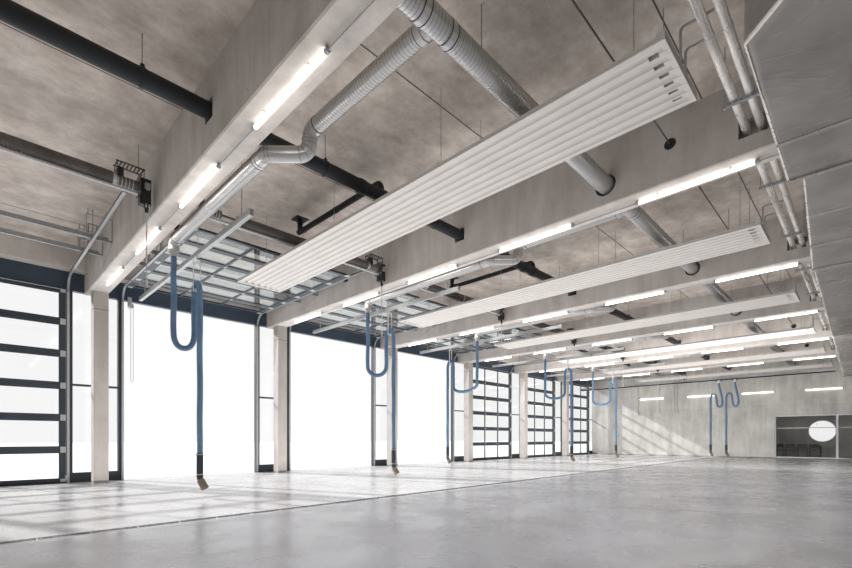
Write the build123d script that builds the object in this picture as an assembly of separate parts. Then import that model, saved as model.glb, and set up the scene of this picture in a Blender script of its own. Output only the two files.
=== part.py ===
# Vehicle hall of a fire station, seven bays long, with a shallow room behind its far wall.
# Millimetres. +Z is up, +X runs along the hall, the doors face -Y, and the origin lies
# at the middle of the footprint on the ground.
from build123d import *
import math
import os

os.makedirs("parts", exist_ok=True)

# Plan
bay = 5000
bay_count = 7
hall_depth = 17050
facade_t = 150
rear_wall_t = 300
end_wall_t = 300
partition_t = 250
end_room_depth = 3000

# Levels above the floor surface
floor_t = 60
beam_soffit = 4877
beam_depth = 1000
plank_t = 200
covering_t = 180
parapet_h = 250
coping_t = 40
header_bottom = 4930
header_top = 5400

# Structure
column_w = 320
column_depth = 350
column_setback = 300
beam_w = 432
beam_offset = 35
edge_beam_w = 350
edge_chamfer = 18
plank_first = 470
plank_pitch = 625
groove_w = 13
groove_depth = 11

# Facade posts, strips and sectional doors
post_w = 120
post_offset = 555
strip_glass_t = 24
kick_h = 250
transom_z = 2520
transom_h = 50
leaf_t = 45
leaf_gap = 10
leaf_side_gap = 5
leaf_bottom = 40
section_h = 810
section_count = 6
section_gap = 4
stile_w = 160
rail_h = 60
mullion_w = 50
pane_columns = 3
pane_t = 20
roller_d = 36
roller_t = 18
axle_d = 12
open_doors = (1, 2, 3)
track_w = 50
track_depth = 45
track_t = 4
track_bend_r = 380
track_end = 5850
track_rail_size = 42
track_rail_high = 82
track_rail_places = (2190, 3150)
track_rail_reach = 2180
hanger_d = 12

# Torsion springs at the rear end of the tracks, with the operator and its hand rod
shaft_gap = 350
shaft_below = 50
shaft_d = 40
shaft_reach = 2020
spring_d = 190
spring_from = 1320
spring_to = 1660
drum_d = 150
drum_w = 320
shaft_plate = (12, 240, 300)
operator_size = (100, 130, 420)
operator_at = 2130
rod_bottom = 3600
rod_d = 16

# Radiant panels under the slab, one a bay from the second bay on
panel_w = 1040
panel_rear_gap = 3730
panel_start = 4200
panel_bottom = 4750
panel_t = 60
rib_count = 7
rib_r = 42
rib_rise = 22
slot_count = 6
slot_length = 90
slot_w = 46
header_tube_d = 34
panel_hook = 1250
panel_hook_end = 300
panel_hook_count = 4
panel_hook_d = 8
panel_slot_inset = 140
panel_tube_inset = 60
link_pipe_d = 28
link_pipe_gap = 170

# Lights
lamp_length = 1500
lamp_d = 50
lamp_cap = 45
lamp_drop = 42
lamp_start = 2280
lamp_rear_gap = 1620
lamp_count = 6
lamp_clip = 24
conduit_d = 20
wall_lamp_level = 3800
wall_lamp_start = 4150
wall_lamp_pitch = 2900
wall_lamp_count = 4

# Ducts and pipes along the hall: distance behind the facade (or from the rear wall), level, diameter
extract_rear, extract_z, extract_d = 5440, 5200, 250
drain_y, drain_z, drain_d = 8550, 5360, 210
small_drain_y, small_drain_z, small_drain_d = 4570, 5430, 125
hole_clear = 40
outlet_y = 5780
outlet_run_z = 5600
outlet_d = 110
outlet_share = 0.527
pipe_hook = (0.3, 0.8)
foil_pipe_rear = (3570, 3410)
foil_pipe_z = 5220
foil_pipe_d = 92
foil_slot_w = 330
foil_slot_h = 230
bracket_size = 40
bracket_reach = 190

# Insulated air duct below the beams at the rear
duct_bottom = 4400
duct_h = 380
duct_rear = 3150
duct_w = 660
duct_step = 120
duct_wide = 780
duct_turn_x = 2230
duct_narrow_run = 4030
duct_left_shift = ((0, 0), (150, -50), (-30, -250))
duct_hook_inset = 200
duct_turn_run = 700
duct_turn_slant = 500
duct_hook_w = 40

# Exhaust extraction: a rail and a hose in each bay
branch_d = 200
branch_x = 345
branch_z = 4900
branch_take = 750
branch_bend = 140
drain_pass = (780, 380)
rail_x = 680
rail_z = 4620
rail_start = 1450
rail_length = 6300
rail_w = 60
rail_h = 90
rail_hook = (5450, 7400)
rail_arm_z = 4960
rail_arm_y = 400
hose_d = 110
hose_top = 4600
hose_bottom = 400
spigot_h = 120
# Distance behind the facade of each hose's spigot and of its saddle, from bay 2 to bay 6
hose_spigot_y = (5150, 4750, 4650, 4500, 4400)
hose_saddle_y = (5400, 5290, 3100, 5400, 5300)
saddle_z = 4110
saddle_w = 150
nozzle_d = 150
nozzle_length = 250
nozzle_tilt = 18
cuff_d = 136
cuff_h = 70
cross_rail_x = 1730
cross_rail_z = 4340
cross_rail_start = 650
cross_rail_gap = 260
cross_rail_hooks = 5
cross_rail_w = 120
cross_rail_h = 150
cross_hose_y = (8690, 9430)
trolley_h = 150

# Table and chairs in the end room
table_rear = 5450
table_x = 1780
table_size = (800, 2100, 750)
chair_count = 4
chair_size = (440, 460, 820)

# Openings
window_rear = 1000
window_w = 5300
window_h = 2430
window_sill = 50
window_frame = 60
window_mullion = 100
window_glass_t = 16
porthole_rear = 4440
porthole_z = 1580
porthole_d = 1330
porthole_frame = 50

# Floor channel
channel_y = 7950
channel_w = 160
channel_depth = 30
channel_bar = 14
channel_slot = 480

# Derived places
length = 2 * end_wall_t + bay * bay_count + partition_t + end_room_depth
depth = facade_t + hall_depth + rear_wall_t
x_near = length / 2 - end_wall_t
x_far = x_near - bay * bay_count
x_end = -length / 2 + end_wall_t
y_face = -depth / 2 + facade_t
y_rear = depth / 2 - rear_wall_t
ceiling = beam_soffit + beam_depth
roof_top = ceiling + plank_t + covering_t
wall_top = roof_top + parapet_h
small_drain_start = x_near - bay + beam_offset - beam_w / 2
track_level = header_bottom - 60 + track_bend_r
panel_length = hall_depth - panel_start - panel_rear_gap
lamp_pitch = (hall_depth - lamp_start - lamp_rear_gap) / (lamp_count - 1)
foil_pipe_y = [hall_depth - gap for gap in foil_pipe_rear]
duct_left = hall_depth - duct_rear
extract_y = hall_depth - extract_rear
cross_rail_length = duct_left - duct_step - cross_rail_gap - cross_rail_start
window_right = hall_depth - window_rear
porthole_y = hall_depth - porthole_rear
table_y = hall_depth - table_rear


def line_x(n):
    return x_near - n * bay


def back(distance):
    # Y of a place that lies this far behind the inside of the facade
    return y_face + distance


def up(level):
    # Z of a level above the floor surface
    return floor_t + level


def block(x, y, z):
    # Box between two values on each axis
    size = [abs(pair[1] - pair[0]) for pair in (x, y, z)]
    middle = [(pair[0] + pair[1]) / 2 for pair in (x, y, z)]
    return Pos(*middle) * Box(*size)


def centred(middle, width):
    return (middle - width / 2, middle + width / 2)


def tube(points, diameter, bends):
    # Round bar along straight runs joined by tangent arcs
    path = FilletPolyline(*points, radius=bends) if len(points) > 2 else Line(*points)
    start = Plane(origin=path @ 0, z_dir=path % 0)
    return sweep(start * Circle(diameter / 2), path=path)


def rod(start, end, diameter):
    return tube([start, end], diameter, None)


def save(name, solids):
    solids = [solid for item in solids for solid in item.solids()]
    export_step(Compound(children=solids), f"parts/{name}.step")


def make_floor():
    slab = block((x_end, x_near), (-depth / 2, y_rear), (0, floor_t))
    channel_x = (x_far + bay / 4, x_near - bay / 4)
    y = back(channel_y)
    slab -= block(channel_x, centred(y, channel_w), (floor_t - channel_depth, floor_t + 1))
    save("floor_slab", [slab])
    # Grate: two long bars with cross bars, seated on the bottom of the recess
    grate_w = channel_w - 4
    low = floor_t - channel_depth
    grate = block((channel_x[0] + 2, channel_x[1] - 2), centred(y, grate_w), (low, floor_t - 2))
    inner = centred(y, grate_w - 2 * channel_bar)
    step = channel_slot + channel_bar
    for n in range(int((channel_x[1] - channel_x[0]) // step)):
        x0 = channel_x[0] + channel_bar + n * step
        grate -= block((x0, x0 + channel_slot), inner, (floor_t - channel_depth / 2, floor_t))
    save("drain_channel", [grate])


def make_walls():
    top = up(wall_top)
    side_y = (-depth / 2, depth / 2)
    save("near_end_wall", [block((x_near, length / 2), side_y, (0, top))])
    hole = Pos((x_end - length / 2) / 2, back(porthole_y), up(porthole_z)) * Rot(0, 90, 0)
    far = block((-length / 2, x_end), side_y, (0, top))
    far -= hole * Cylinder(porthole_d / 2, 2 * end_wall_t)
    save("far_end_wall", [far])
    save("rear_wall", [block((x_end, x_near), (y_rear, depth / 2), (0, top))])
    partition = block((x_far - partition_t, x_far), (y_face, y_rear), (floor_t, up(ceiling)))
    window_y = (back(window_right) - window_w, back(window_right))
    partition -= block((x_far - 2 * partition_t, x_far + 10), window_y, (up(window_sill), up(window_h)))
    save("far_wall", [partition])
    front = block((x_end, x_far - partition_t), (-depth / 2, y_face + facade_t), (floor_t, up(ceiling)))
    save("end_room_front_wall", [front])
    fascia = block((x_far - partition_t, x_near), (-depth / 2, y_face), (up(header_top), top))
    parapet = block((x_end, x_far - partition_t), (-depth / 2, y_face), (up(ceiling), top))
    save("front_fascia", [fascia + parapet])


def make_columns():
    columns = []
    y = (back(column_setback), back(column_setback + column_depth))
    for n in range(1, bay_count):
        column = block(centred(line_x(n), column_w), y, (floor_t, up(beam_soffit)))
        columns.append(chamfer(column.edges().filter_by(Axis.Z), edge_chamfer))
    save("front_columns", columns)


def beam_holes(n):
    # Openings that the ducts and pipes pass through
    x = (line_x(n) - beam_w, line_x(n) + beam_w)
    turn = Rot(0, 90, 0)
    holes = []
    duct_hole = Cylinder(extract_d / 2 + hole_clear, 2 * beam_w)
    holes.append(Pos(line_x(n), back(extract_y), up(extract_z)) * turn * duct_hole)
    drains = [(drain_y, drain_z, drain_d), (small_drain_y, small_drain_z, small_drain_d)]
    for y, z, d in drains if n > 1 else drains[:1]:
        half = d / 2 + hole_clear / 2
        holes.append(block(x, (back(y) - half, back(y) + half), (up(z) - half, up(z) + half)))
    middle = back(sum(foil_pipe_y) / 2)
    holes.append(block(x, centred(middle, foil_slot_w), centred(up(foil_pipe_z), foil_slot_h)))
    return holes


def make_beams():
    beams = []
    for n in range(1, bay_count):
        beam = block(
            centred(line_x(n) + beam_offset, beam_w),
            (y_face, y_rear),
            (up(beam_soffit), up(ceiling)),
        )
        lower_edges = beam.edges().filter_by(Axis.Y).group_by(Axis.Z)[0]
        beam = chamfer(lower_edges, edge_chamfer)
        for hole in beam_holes(n):
            beam -= hole
        beams.append(beam)
    save("roof_beams", beams)
    edges = []
    places = [line_x(n) + beam_offset for n in range(1, bay_count)]
    near_ends = [x_near] + [x - beam_w / 2 for x in places]
    far_ends = [x + beam_w / 2 for x in places] + [x_far]
    for near, far in zip(near_ends, far_ends):
        edges.append(block((far, near), (y_face, back(edge_beam_w)), (up(header_top), up(ceiling))))
    save("front_edge_beam", edges)


def make_roof():
    # Plank underside with a narrow V joint at each plank edge
    width = hall_depth
    points = [(0, 0)]
    for k in range(int((width - plank_first) // plank_pitch) + 1):
        y = plank_first + k * plank_pitch
        points += [(y - groove_w / 2, 0), (y, groove_depth), (y + groove_w / 2, 0)]
    points += [(width, 0), (width, plank_t), (0, plank_t)]
    profile = Plane.YZ * make_face(Polyline(*points, close=True))
    planks = []
    edges = [x_near] + [line_x(n) for n in range(1, bay_count)] + [x_far, x_end]
    for near, far in zip(edges, edges[1:]):
        piece = extrude(profile, near - far - 2)
        planks.append(Pos(far + 1, y_face, up(ceiling)) * piece)
    save("roof_planks", planks)
    cover = block((x_end, x_near), (y_face, y_rear), (up(ceiling + plank_t), up(roof_top)))
    save("roof_covering", [cover])
    z = (up(wall_top), up(wall_top) + coping_t)
    caps = [block(x, (-depth / 2, depth / 2), z) for x in ((-length / 2, x_end), (x_near, length / 2))]
    caps += [block((x_end, x_near), y, z) for y in ((-depth / 2, y_face), (y_rear, depth / 2))]
    save("parapet_coping", caps)


def post_places():
    # Middle of each facade post along X
    places = [line_x(0) - post_offset]
    for n in range(1, bay_count):
        places += [line_x(n) + post_offset, line_x(n) - post_offset]
    return places + [line_x(bay_count) + post_offset]


def strips():
    # The fixed strips between posts, as pairs of X values
    reach = post_offset - post_w / 2
    pairs = [(line_x(0) - reach, line_x(0))]
    for n in range(1, bay_count):
        pairs.append((line_x(n) - reach, line_x(n) + reach))
    return pairs + [(line_x(bay_count), line_x(bay_count) + reach)]


def make_facade():
    y = (-depth / 2, y_face)
    z = (floor_t, up(header_bottom))
    save("facade_posts", [block(centred(x, post_w), y, z) for x in post_places()])
    header = block((x_far, x_near), y, (up(header_bottom), up(header_top)))
    save("door_header", [header])
    bars = []
    glass = []
    middle = (y[0] + y[1]) / 2
    for x in strips():
        bars.append(block(x, y, (floor_t, floor_t + kick_h)))
        bars.append(block(x, y, centred(up(transom_z), transom_h)))
        for low, high in (
            (floor_t + kick_h, up(transom_z) - transom_h / 2),
            (up(transom_z) + transom_h / 2, up(header_bottom)),
        ):
            glass.append(block(x, centred(middle, strip_glass_t), (low, high)))
    save("strip_bars", bars)
    save("strip_glass", glass)


def leaf_width():
    return bay - 2 * post_offset - post_w - 2 * leaf_side_gap


def door_section():
    # One section lying flat: X across, Y up the door, Z through its thickness
    width = leaf_width()
    height = section_h - section_gap
    sketch = Rectangle(width, height)
    clear = width - 2 * stile_w
    pane_w = (clear - (pane_columns - 1) * mullion_w) / pane_columns
    pane_h = height - 2 * rail_h
    panes = []
    for k in range(pane_columns):
        x = -clear / 2 + pane_w / 2 + k * (pane_w + mullion_w)
        sketch -= Pos(x, 0) * Rectangle(pane_w, pane_h)
        panes.append(Pos(x, 0, 0) * Box(pane_w, pane_h, pane_t))
    frame = extrude(sketch, leaf_t / 2, both=True)
    # A roller on each side runs in the guide
    for side in (-1, 1):
        reach = leaf_side_gap + track_t + 4
        axle = Pos(side * (width / 2 + reach / 2), -height / 2 + rail_h, 0) * Rot(0, 90, 0)
        frame += axle * Cylinder(axle_d / 2, reach)
        middle = side * (width / 2 + reach + roller_t / 2)
        wheel = Pos(middle, -height / 2 + rail_h, 0) * Rot(0, 90, 0)
        frame += wheel * Cylinder(roller_d / 2, roller_t)
    return frame, panes


def make_doors():
    frame, panes = door_section()
    shut_glass = []
    open_glass = []
    for n in range(bay_count):
        x = (line_x(n) + line_x(n + 1)) / 2
        frames = []
        for k in range(section_count):
            if n in open_doors:
                y = back(track_bend_r + section_h * (section_count - k - 0.5))
                place = Pos(x, y, up(track_level))
            else:
                z = up(leaf_bottom + section_h * (k + 0.5))
                place = Pos(x, back(leaf_gap + leaf_t / 2), z) * Rot(90, 0, 0)
            frames.append(place * frame)
            store = open_glass if n in open_doors else shut_glass
            store += [place * pane for pane in panes]
        save(f"door_{n + 1}", frames)
    save("door_glass_shut", shut_glass)
    save("door_glass_open", open_glass)


def track_profile():
    # C channel whose mouth faces the leaf
    outer = Rectangle(track_w, track_depth)
    inner = Pos(track_t, 0) * Rectangle(track_w, track_depth - 2 * track_t)
    return outer - inner


def make_tracks():
    # A guide on the post, a bend and a level run on each side of a door, hung from two rails
    standing = []
    hung = []
    hangers = []
    y = leaf_gap + leaf_t / 2
    turn_z = track_level - track_bend_r
    edge = leaf_width() / 2 + leaf_side_gap + track_w / 2
    lean = track_bend_r * math.sqrt(0.5)
    rail_low = up(track_level) + track_depth / 2
    rail_z = (rail_low, rail_low + track_rail_high)
    for n in range(bay_count):
        middle = (line_x(n) + line_x(n + 1)) / 2
        for side in (-1, 1):
            x = middle + side * edge
            profile = track_profile() if side < 0 else mirror(track_profile(), about=Plane.YZ)
            foot = Plane(origin=(x, back(y), floor_t), x_dir=(1, 0, 0), z_dir=(0, 0, 1))
            standing.append(extrude(foot * profile, turn_z))
            bend = ThreePointArc(
                (x, back(y), up(turn_z)),
                (x, back(y + track_bend_r - lean), up(turn_z) + lean),
                (x, back(y + track_bend_r), up(track_level)),
            )
            top = Plane(origin=(x, back(y), up(turn_z)), x_dir=(1, 0, 0), z_dir=(0, 0, 1))
            hung.append(sweep(top * profile, path=bend))
            level_start = Plane(origin=bend @ 1, x_dir=(1, 0, 0), z_dir=(0, 1, 0))
            hung.append(extrude(level_start * profile, track_end - y - track_bend_r))
        for place in track_rail_places:
            across = (middle - track_rail_reach, middle + track_rail_reach)
            hangers.append(block(across, centred(back(place), track_rail_size), rail_z))
            for side in (-1, 1):
                x = middle + side * edge
                hangers.append(rod((x, back(place), rail_z[1]), (x, back(place), up(ceiling)), hanger_d))
    save("door_guides", standing)
    save("ceiling_tracks", hung)
    return hangers


def make_springs():
    # Shaft with its spring, a cable drum and a bearing plate at each end, and the operator
    springs = []
    operators = []
    hangers = []
    y = back(track_end + shaft_gap)
    z = up(track_level - shaft_below)
    thick, wide, high = shaft_plate
    for n in range(bay_count):
        middle = (line_x(n) + line_x(n + 1)) / 2
        turn = Rot(0, 90, 0)
        unit = Pos(middle, y, z) * turn * Cylinder(shaft_d / 2, 2 * shaft_reach)
        spring_middle = middle - (spring_to - spring_from) / 2
        unit += Pos(spring_middle, y, z) * turn * Cylinder(spring_d / 2, spring_from + spring_to)
        for side in (-1, 1):
            x = middle + side * (shaft_reach - thick - drum_w / 2)
            unit += Pos(x, y, z) * turn * Cylinder(drum_d / 2, drum_w)
            plate_x = middle + side * (shaft_reach - thick / 2)
            unit += block(centred(plate_x, thick), centred(y, wide), centred(z, high))
            hangers.append(rod((plate_x, y, z + high / 2), (plate_x, y, up(ceiling)), hanger_d))
            arm_y = (back(track_end), y - wide / 2)
            arm_x = middle + side * (leaf_width() / 2 + leaf_side_gap + track_w / 2)
            arm = block(centred(arm_x, track_t), arm_y, centred(up(track_level), track_depth))
            reach_x = sorted((arm_x - side * track_t / 2, plate_x + side * thick / 2))
            foot = block(reach_x, centred(y - wide / 2 - 6, 12), centred(up(track_level), track_depth))
            unit += arm + foot
        springs.append(unit)
        x = middle - operator_at
        box_wide, box_deep, box_high = operator_size
        low = z + box_high / 3 - box_high
        half = box_wide / 2
        near = middle - shaft_reach
        body = block((x - half, near), centred(y, box_deep), (low, low + box_high))
        body += rod((x, y, low), (x, y, up(rod_bottom)), rod_d)
        operators.append(body)
    save("door_springs", springs)
    save("door_operators", operators)
    return hangers


def make_panels():
    # Underside of half-round ribs between flats, with a folded rim
    start_x = -panel_w / 2
    flat = (panel_w - 2 * rib_count * rib_r) / (rib_count + 1)
    edges = []
    x = start_x
    for k in range(rib_count):
        edges.append(Line((x, 0), (x + flat, 0)))
        x += flat
        edges.append(ThreePointArc((x, 0), (x + rib_r, rib_rise), (x + 2 * rib_r, 0)))
        x += 2 * rib_r
    edges.append(Polyline((x, 0), (-start_x, 0), (-start_x, panel_t), (start_x, panel_t), (start_x, 0)))
    face = make_face(Curve() + edges)
    # The profile stands in XZ and runs towards the rear
    body = extrude(Plane.XZ * face, -panel_length)
    slot_pitch = panel_w / (slot_count + 1)
    for end in (panel_slot_inset, panel_length - panel_slot_inset):
        for k in range(slot_count):
            x = start_x + slot_pitch * (k + 1)
            body -= Pos(x, end, panel_t / 2) * Box(slot_w, slot_length, 2 * panel_t)
    panels = []
    rods = []
    links = []
    tube_z = up(panel_bottom) + panel_t + header_tube_d / 2
    hook_run = (panel_length - panel_hook - panel_hook_end) / (panel_hook_count - 1)
    for n in range(1, bay_count):
        middle = (line_x(n) + line_x(n + 1)) / 2
        panels.append(Pos(middle, back(panel_start), up(panel_bottom)) * body)
        for end in (panel_tube_inset, panel_length - panel_tube_inset):
            y = back(panel_start + end)
            ends = centred(middle, panel_w)
            links.append(rod((ends[0], y, tube_z), (ends[1], y, tube_z), header_tube_d))
        # Flow and return from the end of the panel up to the two pipes
        for k, pipe_y in enumerate(foil_pipe_y):
            x = middle - panel_w / 2 + link_pipe_gap * (k + 1)
            path = [
                (x, y, tube_z + header_tube_d / 2 - 2),
                (x, y, up(foil_pipe_z)),
                (x, back(pipe_y) - foil_pipe_d / 2, up(foil_pipe_z)),
            ]
            if k:
                path[1] = (x, y, up(foil_pipe_z) + foil_pipe_d + link_pipe_d)
                path[2] = (x, back(pipe_y), up(foil_pipe_z) + foil_pipe_d + link_pipe_d)
                path.append((x, back(pipe_y), up(foil_pipe_z) + foil_pipe_d / 2))
            links.append(tube(path, link_pipe_d, [link_pipe_d * 1.5] * (len(path) - 2)))
        for k in range(panel_hook_count):
            y = back(panel_start + panel_hook + k * hook_run)
            for side in (-1, 1):
                x = middle + side * (panel_w / 2 - 80)
                rods.append(rod((x, y, up(panel_bottom + panel_t)), (x, y, up(ceiling)), panel_hook_d))
    save("radiant_panels", panels)
    save("panel_pipes", links)
    return rods


def lamp(x, y, z, along_y=True):
    half = lamp_length / 2
    tube_solid = rod((x, y - half, z), (x, y + half, z), lamp_d)
    caps = []
    for side in (-1, 1):
        caps.append(rod((x, y + side * half, z), (x, y + side * (half + lamp_cap), z), lamp_d + 6))
    return tube_solid, caps


def make_lights():
    tubes = []
    fittings = []
    for n in range(1, bay_count):
        x = line_x(n) + beam_offset
        for k in range(lamp_count):
            y = back(lamp_start + k * lamp_pitch)
            z = up(beam_soffit - lamp_drop)
            body, caps = lamp(x, y, z)
            tubes.append(body)
            for side, cap in zip((-1, 1), caps):
                clip = Pos(x, y + side * (lamp_length + lamp_cap) / 2, z + lamp_drop / 2)
                fittings.append(cap + clip * Box(lamp_clip, lamp_clip, lamp_drop))
            if k:
                low = y - lamp_length / 2 - lamp_cap
                high = low - (lamp_pitch - lamp_length - 2 * lamp_cap)
                fittings.append(rod((x, high, z), (x, low, z), conduit_d))
    for k in range(wall_lamp_count):
        y = back(wall_lamp_start + k * wall_lamp_pitch)
        x = x_far + lamp_drop
        body, caps = lamp(x, y, up(wall_lamp_level))
        tubes.append(body)
        for side, cap in zip((-1, 1), caps):
            cap_y = y + side * (lamp_length + lamp_cap) / 2
            place = Pos(x_far + lamp_drop / 2, cap_y, up(wall_lamp_level))
            fittings.append(cap + place * Box(lamp_drop, lamp_clip, lamp_clip))
    save("light_tubes", tubes)
    save("light_fittings", fittings)


def along(distance, level, near, far, diameter):
    return rod((near, back(distance), up(level)), (far, back(distance), up(level)), diameter)


def pipe_hangers(distance, level, diameter, first_bay=0):
    # Two rods a bay from the top of a run to the slab
    rods = []
    y = back(distance)
    for n in range(first_bay, bay_count):
        for share in pipe_hook:
            x = line_x(n) - bay * share
            rods.append(rod((x, y, up(level) + diameter / 2 - 1), (x, y, up(ceiling)), hanger_d))
    return rods


def foil_brackets():
    # A rail below both pipes, with a rod to the slab at each end
    parts = []
    middle = back(sum(foil_pipe_y) / 2)
    top = up(foil_pipe_z) - foil_pipe_d / 2
    for n in range(bay_count):
        for share in pipe_hook:
            x = line_x(n) - bay * share
            rail_y = centred(middle, 2 * bracket_reach)
            parts.append(block(centred(x, bracket_size), rail_y, (top - bracket_size, top)))
            for side in (-1, 1):
                y = middle + side * (bracket_reach - bracket_size / 2)
                parts.append(rod((x, y, top), (x, y, up(ceiling)), hanger_d))
    return parts


def make_services():
    drain = along(drain_y, drain_z, x_near, x_far, drain_d)
    small = along(small_drain_y, small_drain_z, small_drain_start, x_far, small_drain_d)
    drains = [drain, small]
    for n in range(1, bay_count):
        x = line_x(n) - bay * outlet_share
        path = [
            (x, back(outlet_y), up(outlet_run_z)),
            (x, back(drain_y), up(outlet_run_z)),
            (x, back(drain_y), up(drain_z)),
        ]
        drains.append(tube(path, outlet_d, [outlet_d]) - drain)
        drop_z = (up(outlet_run_z) + outlet_d / 2, up(ceiling))
        drop = Pos(x, back(outlet_y) + outlet_d / 2, sum(drop_z) / 2)
        drains.append(drop * Cylinder(outlet_d / 2, drop_z[1] - drop_z[0]))
    save("drain_pipes", drains)
    save("foil_pipes", [along(y, foil_pipe_z, x_near, x_far, foil_pipe_d) for y in foil_pipe_y])
    hangers = pipe_hangers(drain_y, drain_z, drain_d)
    hangers += pipe_hangers(small_drain_y, small_drain_z, small_drain_d, 1)
    hangers += pipe_hangers(extract_y, extract_z, extract_d)
    return hangers + foil_brackets()


def make_air_duct():
    # Stub from the rear wall, turn, and three straight sections
    z = up(duct_bottom)
    near = line_x(1) - duct_turn_x
    left = back(duct_left)
    right = left + duct_w
    turn_end = near - duct_turn_run
    ends = [turn_end, line_x(2) + duct_step, line_x(2) - duct_narrow_run, x_far]
    outer = near + duct_w
    turn = [(outer, y_rear), (outer, left + duct_turn_slant), (outer - duct_turn_slant, left)]
    turn += [(turn_end, left), (turn_end, right), (near - 20, y_rear)]
    solids = [extrude(make_face(Polyline(*turn, close=True)), duct_h)]
    solids[0] = Pos(0, 0, z) * solids[0]
    rights = [right, right, right + duct_wide - duct_w]
    for k, (start_shift, end_shift) in enumerate(duct_left_shift):
        x_start, x_stop = ends[k], ends[k + 1]
        plan = [(x_start, left + start_shift), (x_stop, left + end_shift), (x_stop, rights[k]), (x_start, rights[k])]
        solids.append(Pos(0, 0, z) * extrude(make_face(Polyline(*plan, close=True)), duct_h))
    save("air_duct", solids)
    hangers = []
    for n in range(2, bay_count):
        x = line_x(n) + beam_offset + beam_w / 3
        inset = (left + duct_hook_inset, right - duct_hook_w)
        hangers.append(block(centred(x, duct_hook_w), inset, (z + duct_h, up(beam_soffit))))
    return hangers


def make_extraction():
    main = along(extract_y, extract_z, x_near, x_far, extract_d)
    save("extract_duct", [main])
    branches = []
    for n, spigot_y in enumerate(hose_spigot_y, start=1):
        x_take = line_x(n) - branch_take
        x_run = line_x(n) - branch_x
        path = [
            (x_take, back(extract_y), up(extract_z)),
            (x_take, back(drain_y + drain_pass[0]), up(extract_z)),
            (x_take, back(drain_y + drain_pass[0]), up(branch_z)),
            (x_run, back(drain_y + drain_pass[1]), up(branch_z)),
            (x_run, back(spigot_y), up(branch_z)),
            (x_run, back(spigot_y), up(hose_top) + spigot_h),
        ]
        branch = tube(path, branch_d, [branch_bend] * 3 + [120]) - main
        place = Pos(x_run, back(spigot_y), up(hose_top) + spigot_h / 2)
        branches.append(branch + place * Cone(hose_d / 2 + 8, branch_d / 2, spigot_h))
    save("extract_branches", branches)


def hose_points(n):
    # Control points of the hose in bay n + 1: down, a U, up to the saddle and down to the nozzle
    x0 = line_x(n) - branch_x
    x1 = line_x(n) - rail_x
    y0 = back(hose_spigot_y[n - 1])
    y1 = back(hose_saddle_y[n - 1])
    y_up = y1 - saddle_w * (1 if y1 > y0 - 600 else -1)
    y_down = y1 + saddle_w * (1 if y1 > y0 - 600 else -1)
    sag = up(2870)
    points = [(x0, y0, up(hose_top)), (x0 - 3, y0 + 2, up(4430)), (x0 + 7, y0 - 4, up(4200))]
    points += [(x0 - 8, y0 + 6, up(3860)), (x0 + 6, y0 + 2, up(3480)), (x0 + 4, y0 - 6, up(3190))]
    points += [(x0 - 8, y0 + 4, sag + 130)]
    points += [(x0 - 92, y0 + (y_up - y0) * 0.3, sag), (x1 + 92, y0 + (y_up - y0) * 0.7, sag)]
    points += [(x1 + 8, y_up - 4, sag + 130), (x1 - 4, y_up + 4, up(3230)), (x1 + 3, y_up - 5, up(3520))]
    turn = (y_down - y_up) / (2 * saddle_w)
    points += [(x1 - 2, y_up, up(3760)), (x1, y_up + 4 * turn, up(saddle_z) - 160)]
    points += [(x1, y_up + 78 * turn, up(saddle_z)), (x1, y_down - 78 * turn, up(saddle_z))]
    points += [(x1, y_down - 4 * turn, up(saddle_z) - 160), (x1 + 2, y_down, up(3720))]
    points += [(x1 - 5, y_down + 4, up(3330)), (x1 + 6, y_down - 5, up(2780))]
    points += [(x1 - 6, y_down + 5, up(2120)), (x1 + 5, y_down - 4, up(1500))]
    points += [(x1 - 3, y_down + 3, up(960)), (x1 + 1, y_down, up(640))]
    points += [(x1, y_down, up(hose_bottom))]
    return points


def cross_hose_points(y):
    # Control points of a hose below the rail that runs across the last bay
    x = line_x(bay_count - 1) - cross_rail_x
    top = up(cross_rail_z - trolley_h)
    points = [(x, y, top), (x + 2, y + 6, top - 150), (x - 3, y + 52, top - 380)]
    points += [(x + 2, y + 122, top - 700), (x + 6, y + 168, top - 980)]
    points += [(x + 8, y + 150, top - 1210), (x + 4, y + 50, top - 1350)]
    points += [(x - 4, y - 70, top - 1260), (x - 8, y - 118, top - 1010), (x - 2, y - 128, top - 790)]
    points += [(x, y - 190, top - 590), (x, y - 330, top - 590), (x + 2, y - 402, top - 770)]
    points += [(x - 2, y - 398, top - 1060), (x + 5, y - 406, top - 1520), (x - 5, y - 396, top - 2080)]
    points += [(x + 4, y - 404, top - 2640), (x - 3, y - 398, top - 3120), (x, y - 400, top - 3440)]
    return points + [(x, y - 400, up(hose_bottom))]


def corner_radii(points):
    # Largest tangent arc at each corner: 0.45 of the shorter run over the tangent of half the turn
    radii = []
    for a, b, c in zip(points, points[1:], points[2:]):
        run_in = Vector(*b) - Vector(*a)
        run_out = Vector(*c) - Vector(*b)
        half_turn = math.radians(run_in.get_angle(run_out)) / 2
        radii.append(0.45 * min(run_in.length, run_out.length) / math.tan(half_turn))
    return radii


def hose_routes():
    routes = [hose_points(n) for n in range(1, len(hose_spigot_y) + 1)]
    return routes + [cross_hose_points(back(y)) for y in cross_hose_y]


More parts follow.
